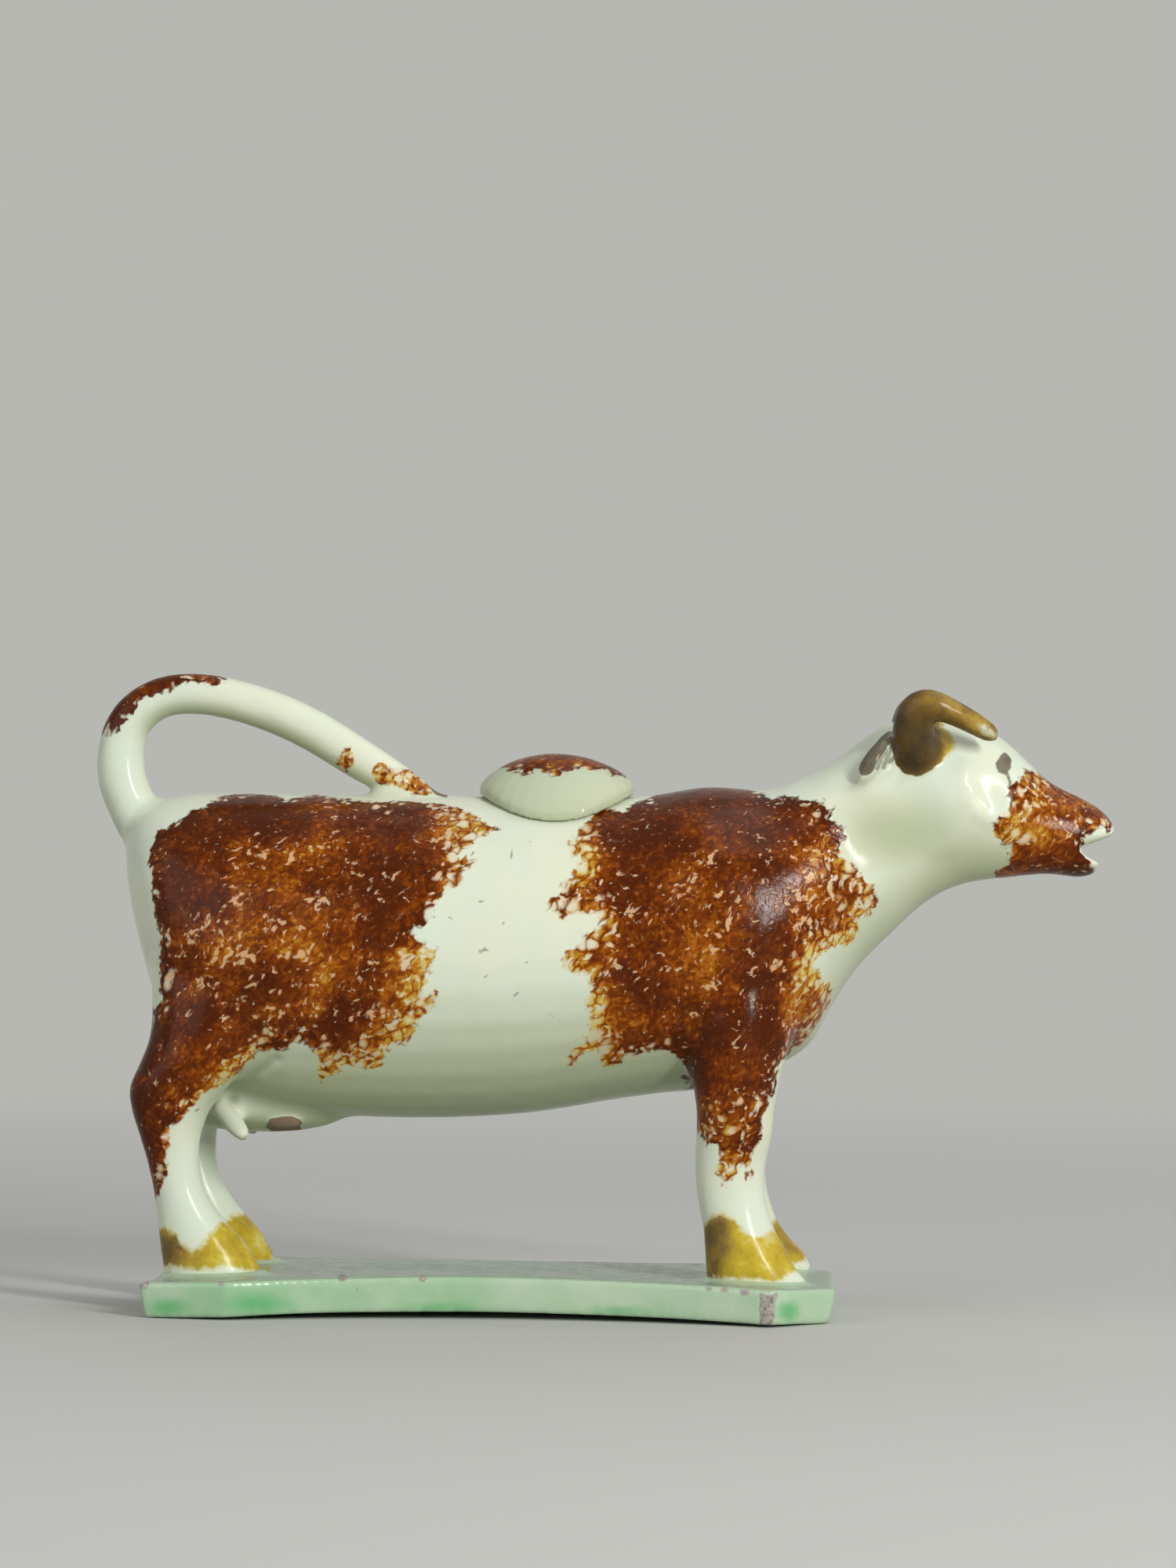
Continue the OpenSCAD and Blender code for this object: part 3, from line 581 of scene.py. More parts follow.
@dataclass
class Painter:
    """Works out, for the points of a piece, how far each lies inside the painted places."""

    view: PhotoView
    plan: Decoration
    far_drift_px: float = 26.0
    blend: float = 9.0
    drifts: tuple[Pair, Pair] = ((230.0, 3.1), (260.0, 7.7))

    def seen(self, points: np.ndarray) -> np.ndarray:
        """Gives each point's pixel, with the far side folded onto the near one and drawn a little otherwise.

        Args:
            points: Rows of x, y, z in millimetres.

        Returns:
            Rows of pixels.
        """
        pixels = self.folded(points)
        away = step(points[:, 1], 0.0, self.blend)[:, None] * self.far_drift_px
        return pixels + away * np.stack([ripple(pixels, wave, seed) for wave, seed in self.drifts], -1)

    def folded(self, points: np.ndarray) -> np.ndarray:
        """Gives each point's pixel, with the far side folded onto the near one."""
        return self.view.pixels(np.stack([points[:, 0], -np.abs(points[:, 1]), points[:, 2]], -1))

    def depth(self, pixels: np.ndarray, outlines: Sequence[Outline]) -> np.ndarray:
        """Measures in pixels how far points lie inside any of some outlines."""
        return np.max([inside_outline(pixels, o) for o in outlines], axis=0)

    def within(self, clay: Clay, pixels: np.ndarray, outlines: Sequence[Outline]) -> np.ndarray:
        """Measures over the surface how far points lie inside any of some outlines.

        Args:
            clay: The piece.
            pixels: Each point's pixel.
            outlines: The outlines.

        Returns:
            Millimetres inside, negative outside.
        """
        best = self.depth(pixels, outlines) * self.view.pixel_mm
        return np.clip(best / np.clip(clay.steepness(best), 0.2, 1.0), -FAR_OUT, FAR_OUT)

    def tone(self, pixels: np.ndarray) -> np.ndarray:
        """Tells where the sponging is thin or thick.

        Args:
            pixels: Each point's pixel.

        Returns:
            From -1, thick, to 1, thin.
        """
        plan, total = self.plan, np.zeros(len(pixels))
        # The heel outlines thicken the ochre as painted shade; the haunch's thick outline also carries painted shade.
        for outlines, share, low, high in (
                (plan.thin, 1.0, -14.0, 14.0), (plan.light, 0.4, -16.0, 12.0), (plan.pale, 0.8, -12.0, 10.0),
                (plan.dense, -1.0, -22.0, 22.0), (plan.heel_shade, -1.2, -12.0, 10.0)):
            total += share * step(self.depth(pixels, outlines), low, high)
        return np.clip(total, -1.0, 1.0)

    def patches(self, pixels: np.ndarray, ovals: Sequence[Oval], fade: Pair = (1.5, 0.5)) -> np.ndarray:
        """Tells how far points lie in soft ovals.

        Args:
            pixels: Each point's pixel.
            ovals: The pixel of each oval's middle, its half width and its half height.
            fade: Where the fading ends and starts, as shares of the oval.

        Returns:
            From 0, outside, to 1, in the middle.
        """
        off = [np.hypot((pixels[:, 0] - x) / wide, (pixels[:, 1] - y) / tall) for x, y, wide, tall in ovals]
        return step(-np.min(off, axis=0), -fade[0], -fade[1])

    def strokes(self, pixels: np.ndarray, lines: Sequence[Outline], half: float) -> np.ndarray:
        """Measures how far points lie inside thin strokes.

        Args:
            pixels: Each point's pixel.
            lines: The strokes' middle lines.
            half: Half the stroke's width, in millimetres.

        Returns:
            Millimetres inside, negative outside.
        """
        gap = np.min([to_line(pixels, np.array(line, dtype=float)) for line in lines], axis=0)
        return np.clip(half - gap * self.view.pixel_mm, -FAR_OUT, FAR_OUT)


# ------------------------------------------------------------------------------------ shader node groups


class Value:
    """An output of a node, which sums can be written with as with a number."""

    def __init__(self, sheet: "Sheet", socket: bpy.types.NodeSocket) -> None:
        """Takes the output.

        Args:
            sheet: The sheet that the node is on.
            socket: The output.
        """
        self.sheet, self.socket = sheet, socket

    def __add__(self, other: Any) -> "Value":
        return self.sheet.math("ADD", self, other)

    def __sub__(self, other: Any) -> "Value":
        return self.sheet.math("SUBTRACT", self, other)

    def __rsub__(self, other: Any) -> "Value":
        return self.sheet.math("SUBTRACT", other, self)

    def __mul__(self, other: Any) -> "Value":
        return self.sheet.math("MULTIPLY", self, other)

    __radd__, __rmul__ = __add__, __mul__

    def at_least(self, other: Any) -> "Value":
        """Adds the larger of this value and another."""
        return self.sheet.math("MAXIMUM", self, other)

    def at_most(self, other: Any) -> "Value":
        """Adds the smaller of this value and another."""
        return self.sheet.math("MINIMUM", self, other)

    def rise(self, low: Any, high: Any, start: Any = 0.0, end: Any = 1.0) -> "Value":
        """Adds a smooth rise from start, where this value is low, to end, where it is high."""
        node = self.sheet.add("ShaderNodeMapRange", interpolation_type="SMOOTHSTEP")
        given = {"Value": self, "From Min": low, "From Max": high, "To Min": start, "To Max": end}
        for name, value in given.items():
            self.sheet.feed(node.inputs[name], value)
        return Value(self.sheet, node.outputs[0])

    def fall(self, low: Any, high: Any) -> "Value":
        """Adds a smooth fall from 1, where this value is low, to 0, where it is high."""
        return self.rise(low, high, 1.0, 0.0)


class Sheet:
    """Adds and joins the nodes of one tree."""

    def __init__(self, tree: bpy.types.NodeTree) -> None:
        """Takes the tree to write on.

        Args:
            tree: The node tree.
        """
        self.tree = tree

    def add(self, kind: str, **settings: Any) -> bpy.types.Node:
        """Adds a node and sets its properties."""
        node = self.tree.nodes.new(kind)
        for name, value in settings.items():
            setattr(node, name, value)
        return node

    def feed(self, socket: bpy.types.NodeSocket, value: Any) -> None:
        """Joins an output to a socket, or sets the socket's own value."""
        if isinstance(value, Value):
            value = value.socket
        if isinstance(value, bpy.types.NodeSocket):
            self.tree.links.new(value, socket)
        else:
            socket.default_value = value

    def node(self, kind: str, feeds: dict[Any, Any], output: Any = 0, **settings: Any) -> Value:
        """Adds a node.

        Args:
            kind: The node's type.
            feeds: A value for each input, by its name or number.
            output: The name or number of the output that is given back.
            settings: The node's properties.

        Returns:
            The output.
        """
        node = self.add(kind, **settings)
        for name, value in feeds.items():
            self.feed(node.inputs[name], value)
        return Value(self, node.outputs[output])

    def math(self, operation: str, a: Any, b: Any = 0.0, clamp: bool = False) -> Value:
        """Adds a sum of two values and gives its result."""
        return self.node("ShaderNodeMath", {0: a, 1: b}, operation=operation, use_clamp=clamp)

    def vector(self, operation: str, a: Any, b: Any) -> Value:
        """Adds a sum of two vectors, or of a vector and a scale, and gives its result."""
        second = 3 if operation == "SCALE" else 1
        return self.node("ShaderNodeVectorMath", {0: a, second: b}, operation=operation)

    def noise(self, position: Value, scale: float, detail: float = 2.0) -> Value:
        """Adds a noise over a position in millimetres."""
        return self.node("ShaderNodeTexNoise", {"Vector": position, "Scale": scale, "Detail": detail}, "Fac")

    def swing(self, position: Value, scale: float, detail: float) -> Value:
        """Adds a noise that swings about 0."""
        return self.noise(position, scale, detail) - 0.5

    def cells(self, position: Value, scale: Any, feature: str = "F1", output: str = "Distance") -> Value:
        """Adds cells over a position in millimetres."""
        return self.node("ShaderNodeTexVoronoi", {"Vector": position, "Scale": scale}, output, feature=feature)

    def lots(self, position: Value, scale: Any) -> Value:
        """Adds one random value for each cell over a position."""
        return self.node("ShaderNodeSeparateColor", {0: self.cells(position, scale, output="Color")})

    def slanted(self, position: Value, way: Place, share: float) -> Value:
        """Adds a position drawn together along one way, so that patterns over it lie stretched that way."""
        along = self.node("ShaderNodeVectorMath", {0: position, 1: way}, 1, operation="DOT_PRODUCT")
        back = self.vector("SCALE", self.vector("SCALE", way, along), -share)
        return self.vector("ADD", position, back)

    def shaken(self, position: Value, over: Value, scale: float, reach: float) -> Value:
        """Adds a position pushed about by a noise over another position."""
        feeds = {"Vector": over, "Scale": scale, "Detail": 1.0}
        push = self.vector("SUBTRACT", self.node("ShaderNodeTexNoise", feeds, "Color"), (0.5, 0.5, 0.5))
        return self.vector("ADD", position, self.vector("SCALE", push, reach))

    def mix(self, share: Any, a: Any, b: Any) -> Value:
        """Adds a mix of two colours."""
        node = self.add("ShaderNodeMix", data_type="RGBA")
        self.feed(node.inputs["Factor"], share)
        for socket, given in zip([s for s in node.inputs if s.type == "RGBA"], (a, b)):
            self.feed(socket, given if isinstance(given, Value) else (*given, 1.0))
        return Value(self, next(s for s in node.outputs if s.type == "RGBA"))

    def ramp(self, share: Value, stops: Stops) -> Value:
        """Adds a run of colours along a value."""
        node = self.add("ShaderNodeValToRGB")
        band = node.color_ramp
        while len(band.elements) < len(stops):
            band.elements.new(1.0)
        for element, (place, colour) in zip(band.elements, stops):
            element.position = place
            element.color = (*colour, 1.0)
        self.feed(node.inputs[0], share)
        return Value(self, node.outputs[0])

    def held(self, mark: Mark) -> Value:
        """Adds the value that the surface carries for a mark."""
        return self.node("ShaderNodeAttribute", {}, "Fac", attribute_name=mark.value)

    def millimetres(self) -> Value:
        """Adds the place on the piece, in millimetres of the object's own frame."""
        return self.vector("SCALE", self.node("ShaderNodeTexCoord", {}, "Object"), 1 / MM)

    def effect(self, group: bpy.types.NodeTree, **given: Any) -> dict[str, Value]:
        """Places a shared effect, feeds its inputs by name and gives its outputs by name."""
        node = self.add("ShaderNodeGroup")
        node.node_tree = group
        for name, value in given.items():
            self.feed(node.inputs[name], value)
        return {socket.name: Value(self, socket) for socket in node.outputs}

    def give(self, **results: Value) -> bpy.types.NodeTree:
        """Ends a shared effect with its outputs, by name, and gives its tree."""
        for name in results:
            self.tree.interface.new_socket(name=name, in_out="OUTPUT", socket_type="NodeSocketFloat")
        end = self.add("NodeGroupOutput")
        for name, value in results.items():
            self.feed(end.inputs[name], value)
        return self.tree


def new_group(name: str, **takes: float) -> tuple[Sheet, list[Value]]:
    """Starts a shared effect over a place.

    Args:
        name: The group's name.
        takes: The standing value of each input after the place, by its name.

    Returns:
        The sheet, and the place and the other inputs in order.
    """
    tree = bpy.data.node_groups.new(name, "ShaderNodeTree")
    tree.interface.new_socket(name="Place", in_out="INPUT", socket_type="NodeSocketVector")
    for label, standing in takes.items():
        socket = tree.interface.new_socket(name=label, in_out="INPUT", socket_type="NodeSocketFloat")
        socket.default_value = standing
    sheet = Sheet(tree)
    entry = sheet.add("NodeGroupInput")
    return sheet, [Value(sheet, entry.outputs[label]) for label in ("Place", *takes)]


@dataclass(frozen=True)
class SpongePrint:
    """The print of a sponge: broad clouds of colour with small bare specks, which crowd along its border.

    Lengths are millimetres. Scales are waves or cells for each millimetre.
    """

    cell: float = 1.9
    cell_kinds: tuple[Pair, ...] = ((1.0, 0.5), (0.62, 0.46))
    wipe_way: Place = (0.66, 0.0, 0.75)
    wipe: float = 0.24
    drag: float = 2.0
    fray_scale: float = 1.4
    frays: Pair = (0.75, 0.42)
    border_sway: Pair = (4.0, 3.4)
    rim: float = 7.5
    grain_scale: float = 0.95
    grain_gate: float = 0.682
    thickness: float = 0.835
    limits: Pair = (0.02, 0.96)

    def group(self) -> bpy.types.NodeTree:
        """Builds the print.

        Returns:
            The group. Cover is where the colour lies, Strength how thick it is, Cell where a speck in it is bare.
        """
        sheet, (place, inside, thin, bare) = new_group("sponge_print", Inside=0.0, Thin=0.0, Open=0.0)
        bold = thin.at_least(0.0)
        wiped = sheet.shaken(sheet.slanted(place, self.wipe_way, self.wipe), place, 0.3, self.drag)
        pulled, eased = (sheet.shaken(wiped, wiped, self.fray_scale, reach) for reach in self.frays)
        coarse, tuft = self.border_sway
        depth = inside + sheet.swing(place, 0.22, 2) * coarse + sheet.swing(pulled, 0.85, 3) * tuft
        band = depth.fall(0.6, bold * 4.4 + 3.6)
        wash = (depth.fall(0.0, self.rim) * (bold * 0.76 + 0.24)).at_least(bold * 0.5)
        gather = bare * 1.3 + sheet.noise(place, 0.13, 2).rise(0.36, 0.64) * 0.85 + thin * 0.5
        grain = sheet.noise(eased, self.grain_scale, 2) - (self.grain_gate - gather * 0.085)
        specks, halos = grain.rise(-0.015, 0.09) * 0.88, grain.rise(-0.07, 0.03)
        crowd = (bold * 0.55 + 0.55) * band
        for size, wide in self.cell_kinds:
            scale = 1 / (size * self.cell)
            radius = sheet.lots(eased, scale).rise(0.0, crowd, wide, -0.24)
            off = sheet.cells(eased, scale) - radius
            specks, halos = specks.at_least(off.fall(-0.26, 0.14)), halos.at_least(off.fall(0.0, 0.5))
        wall = sheet.cells(eased, 1 / self.cell, "DISTANCE_TO_EDGE").fall(0.0, 0.2) * band
        edge = depth.rise(-0.25, 0.5)
        clouds = sheet.swing(place, 0.075, 2) * 1.2 + sheet.swing(wiped, 0.3, 3) * 0.6
        clouds = clouds + sheet.swing(pulled, 1.35, 2) * 0.82 + wall * 0.34
        strength = clouds - wash * 0.5 - halos * 0.2 - thin * 0.08 + self.thickness
        least, most = self.limits
        return sheet.give(Cover=edge * (1.0 - specks), Strength=strength.at_least(least).at_most(most),
                          Cell=specks * edge * (1.0 - band * 0.75))


def brushed_group() -> bpy.types.NodeTree:
    """Builds the border of a brushed or bare place.

    Returns:
        The group. Cover is 1 in the place, Strength how thick the colour lies there.
    """
    sheet, (place, inside, ragged, soft, thin) = new_group(
        "brushed_place", Inside=0.0, Ragged=0.5, Soft=0.3, Thin=0.0)
    depth = inside + sheet.swing(place, 0.8, 4) * 2.0 * ragged
    cover = depth.rise(soft * -1.0, soft)
    lay = sheet.noise(place, 0.22, 3).rise(0.3, 0.7, 0.2, 0.6) + depth.rise(0.0, 3.0, 0.0, 0.2)
    lay = lay + sheet.swing(place, 1.6, 4) * 0.35 - thin * 0.34
    return sheet.give(Cover=cover, Strength=sheet.math("MULTIPLY", cover, lay, clamp=True))


def glaze_group() -> bpy.types.NodeTree:
    """Builds the skin of a poured glaze.

    Returns:
        The group. Height is its unevenness, Polish a variation for the gloss, Specks dark pinholes, Cloud a soft tint.
    """
    sheet, (place, share) = new_group("glaze_skin", Share=0.03)
    specks = sheet.math("LESS_THAN", sheet.lots(place, 0.32), share) * sheet.cells(place, 0.32).fall(0.03, 0.075)
    return sheet.give(Height=sheet.noise(place, 0.16, 1) + sheet.noise(place, 0.9, 2) * 0.09,
                      Polish=sheet.noise(place, 0.5, 3), Specks=specks, Cloud=sheet.noise(place, 0.07, 3))


@dataclass
class Effects:
    """The effects that several materials share."""

    sponge: bpy.types.NodeTree = field(default_factory=SpongePrint().group)
    brushed: bpy.types.NodeTree = field(default_factory=brushed_group)
    glaze: bpy.types.NodeTree = field(default_factory=glaze_group)


# -------------------------------------------------------------------------------------------- finishes


class Coat:
    """A material that is being made, with its sheet and its Principled shader."""

    def __init__(self, name: str) -> None:
        """Starts the material.

        Args:
            name: The material's name.
        """
        self.material = bpy.data.materials.new(name)
        self.material.use_nodes = True
        nodes = self.material.node_tree.nodes
        self.sheet = Sheet(self.material.node_tree)
        self.shader = next(n for n in nodes if n.type == "BSDF_PRINCIPLED")
        self.end = next(n for n in nodes if n.type == "OUTPUT_MATERIAL")

    def finish(self, colour: Value, roughness: Value, height: Value, relief: float) -> bpy.types.Material:
        """Joins what varies to the shader.

        Args:
            colour: The colour.
            roughness: The roughness.
            height: The height of the relief, from 0 to about 1.
            relief: What a height of 1 stands for, in millimetres.

        Returns:
            The material.
        """
        bump = self.sheet.node("ShaderNodeBump", {"Distance": relief * MM, "Height": height}, "Normal")
        for name, value in (("Base Color", colour), ("Roughness", roughness), ("Normal", bump)):
            self.sheet.feed(self.shader.inputs[name], value)
        return self.material


@dataclass(frozen=True)
class PearlGlaze:
    """Pearl glaze over cream earthenware, with sponged, brushed and worn places, and a darker, greener tone for pooled
    glaze and painted shade.
    """

    glaze: Colour = (0.66, 0.73, 0.60)
    warm: Colour = (0.70, 0.73, 0.57)
    # The darker, greener tone of pooled glaze, also used as painted shade on the underside, in concave places, on the
    # neck and on the lid.
    pooled: Colour = (0.31, 0.36, 0.19)
    sponge: Stops = (
        (0.0, (0.60, 0.48, 0.17)), (0.14, (0.50, 0.32, 0.045)), (0.28, (0.42, 0.19, 0.016)),
        (0.42, (0.35, 0.10, 0.004)), (0.58, (0.206, 0.044, 0.0)), (0.76, (0.12, 0.021, 0.0)),
        (1.0, (0.058, 0.0095, 0.0)))
    cell: Colour = (0.66, 0.33, 0.125)
    ochre: Stops = (
        (0.0, (0.62, 0.55, 0.17)), (0.22, (0.54, 0.39, 0.012)), (0.48, (0.42, 0.285, 0.006)),
        (0.74, (0.29, 0.175, 0.014)), (1.0, (0.15, 0.088, 0.011)))
    horn: Stops = (
        (0.0, (0.36, 0.225, 0.02)), (0.3, (0.2, 0.11, 0.004)), (0.55, (0.11, 0.054, 0.002)),
        (1.0, (0.04, 0.018, 0.001)))
    grey: Colour = (0.115, 0.09, 0.057)
    clay: Colour = (0.22, 0.16, 0.105)
    glint: float = 0.14
    roughness: Pair = (0.14, 0.23)
    relief: float = 0.22

    def build(self, name: str, effects: Effects) -> bpy.types.Material:
        """Builds the material.

        Args:
            name: The material's name.
            effects: The shared effects.

        Returns:
            The material.
        """
        coat = Coat(name)
        sheet = coat.sheet
        place, thin = sheet.millimetres(), sheet.held(Mark.THIN)
        skin = sheet.effect(effects.glaze, Place=place)
        sponged = sheet.effect(
            effects.sponge, Place=place, Inside=sheet.held(Mark.SPONGE), Thin=thin, Open=sheet.held(Mark.OPEN))
        brushed, greyed, broken = (
            sheet.effect(effects.brushed, Place=place, Inside=sheet.held(mark), Ragged=ragged, Soft=soft, Thin=lean)
            for mark, ragged, soft, lean in (
                (Mark.OCHRE, 1.0, 0.7, thin), (Mark.GREY, 0.25, 0.18, 0.0), (Mark.BARE, 0.2, 0.1, 0.0)))
        cover, strength, lost = sponged["Cover"], sponged["Strength"], broken["Cover"]
        base = sheet.mix(skin["Cloud"].rise(0.35, 0.65), self.glaze, self.warm)
        # Mixes in pooled glaze and painted shade where the hollow mark lies.
        base = sheet.mix(sheet.held(Mark.POOL_AND_SHADE).rise(0.05, 1.0) * 0.75, base, self.pooled)
        base = sheet.mix(sponged["Cell"] * 0.97, base, self.cell)
        base = sheet.mix(cover, base, sheet.ramp(strength, self.sponge))
        lay = brushed["Strength"]
        earth = sheet.mix(sheet.held(Mark.HORN), sheet.ramp(lay, self.ochre), sheet.ramp(lay, self.horn))
        base = sheet.mix(brushed["Cover"] * 0.96, base, earth)
        base = sheet.mix(greyed["Cover"] * greyed["Strength"].rise(0.15, 0.75, 0.85, 1.0), base, self.grey)
        base = sheet.mix(lost, base, self.clay)
        scuff = (sheet.held(Mark.SCUFF) + sheet.noise(place, 3.0, 2) * 0.3).rise(0.1, 0.3)
        base = sheet.mix((scuff * 0.62).at_least(skin["Specks"] * 0.45), base, self.grey)
        coat.shader.inputs["Specular IOR Level"].default_value = self.glint
        roughness = skin["Polish"].rise(0.3, 0.7, *self.roughness) + lost * 0.55
        height = skin["Height"] + cover * strength * 0.3 + lost * sheet.noise(place, 3.0, 4) * 0.8
        return coat.finish(base, roughness, height, self.relief)


@dataclass(frozen=True)
class GreenGlaze:
    """Mint-green glaze on the plinth, thin and pale on its edges, darker where it pools, and with a top painted greyer
    and darker as shade.
    """

    mint: Colour = (0.29, 0.50, 0.29)
    pale: Colour = (0.46, 0.59, 0.42)
    pooled: Colour = (0.10, 0.42, 0.15)
    # Painted shade: the greyer, darker colour of the plinth's top.
    topside: Colour = (0.25, 0.34, 0.255)
    clay: Colour = (0.20, 0.16, 0.13)
    grit: Colour = (0.42, 0.40, 0.36)
    specks: float = 0.06
    roughness: Pair = (0.16, 0.3)
    relief: float = 0.13

    def build(self, name: str, effects: Effects) -> bpy.types.Material:
        """Builds the material.

        Args:
            name: The material's name.
            effects: The shared effects.

        Returns:
            The material.
        """
        coat = Coat(name)
        sheet = coat.sheet
        place = sheet.millimetres()
        skin = sheet.effect(effects.glaze, Place=place, Share=self.specks)
        broken, pooled = (
            sheet.effect(effects.brushed, Place=place, Inside=sheet.held(mark), Ragged=ragged, Soft=soft)["Cover"]
            for mark, ragged, soft in ((Mark.BARE, 0.45, 0.15), (Mark.POOL, 0.8, 2.0)))
        base = sheet.mix(skin["Cloud"].rise(0.3, 0.7), self.mint, self.pale)
        # Paints the top darker and greyer, painted shade.
        base = sheet.mix(sheet.held(Mark.TOP), base, self.topside)
        base = sheet.mix(pooled * 0.85, base, self.pooled)
        worn = sheet.held(Mark.EDGE) * sheet.noise(place, 0.7, 4).rise(0.25, 0.6, 0.5, 1.0)
        base = sheet.mix(worn, base, self.pale)
        gravel = sheet.noise(place, 1.6, 5)
        base = sheet.mix(broken, base, sheet.ramp(gravel, ((0.3, self.clay), (0.6, self.grit))))
        base = sheet.mix(skin["Specks"] * 0.6, base, self.clay)
        roughness = skin["Polish"].rise(0.3, 0.7, *self.roughness) + broken * 0.5
        return coat.finish(base, roughness, skin["Height"] + broken * gravel, self.relief)


# ---------------------------------------------------------------------------------------- the pieces


def finish_piece(mesh: bpy.types.Mesh, node: str, body: str,
                 material: bpy.types.Material) -> bpy.types.Object:
    """Hands a mesh over as a dressed piece.

    Args:
        mesh: The mesh.
        node: The solid that it stands for.
        body: The body that it rides on.
        material: Its finish.

    Returns:
        The piece.
    """
    mesh.materials.clear()
    mesh.materials.append(material)
    piece = new_object("glazed_" + node, mesh)
    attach(piece, body)
    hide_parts(node)
    log.info("%s: %d faces", piece.name, len(mesh.polygons))
    return piece


def part_of(mesh: bpy.types.Mesh, name: str, keep: np.ndarray, normals: np.ndarray) -> bpy.types.Mesh:
    """Cuts some faces of a mesh out as a mesh of their own, shaded as in the whole.

    Args:
        mesh: The whole.
        name: The new mesh's name.
        keep: True for each face that goes along.
        normals: The shading direction at each point of the whole.

    Returns:
        The new mesh, with the whole's values at its points.
    """
    corners = column(mesh.loops, "vertex_index", kind=np.int64)
    starts = column(mesh.polygons, "loop_start", kind=np.int64)[keep]
    totals = column(mesh.polygons, "loop_total", kind=np.int64)[keep]
    faces = [corners[start:start + total] for start, total in zip(starts, totals)]
    used = np.unique(np.concatenate(faces))
    number = np.full(len(mesh.vertices), -1)
    number[used] = np.arange(len(used))
    piece = bpy.data.meshes.new(name)
    places = column(mesh.vertices, "co", 3)[used]
    piece.from_pydata(places.tolist(), [], [number[face].tolist() for face in faces])
    round_off(piece)
    for layer in mesh.attributes:
        if layer.name in {m.value for m in Mark}:
            values = column(layer.data, "value", kind=np.float32)[used]
            piece.attributes.new(layer.name, "FLOAT", "POINT").data.foreach_set("value", values)
    piece.update()
    piece.normals_split_custom_set_from_vertices(normals[used].tolist())
    return piece


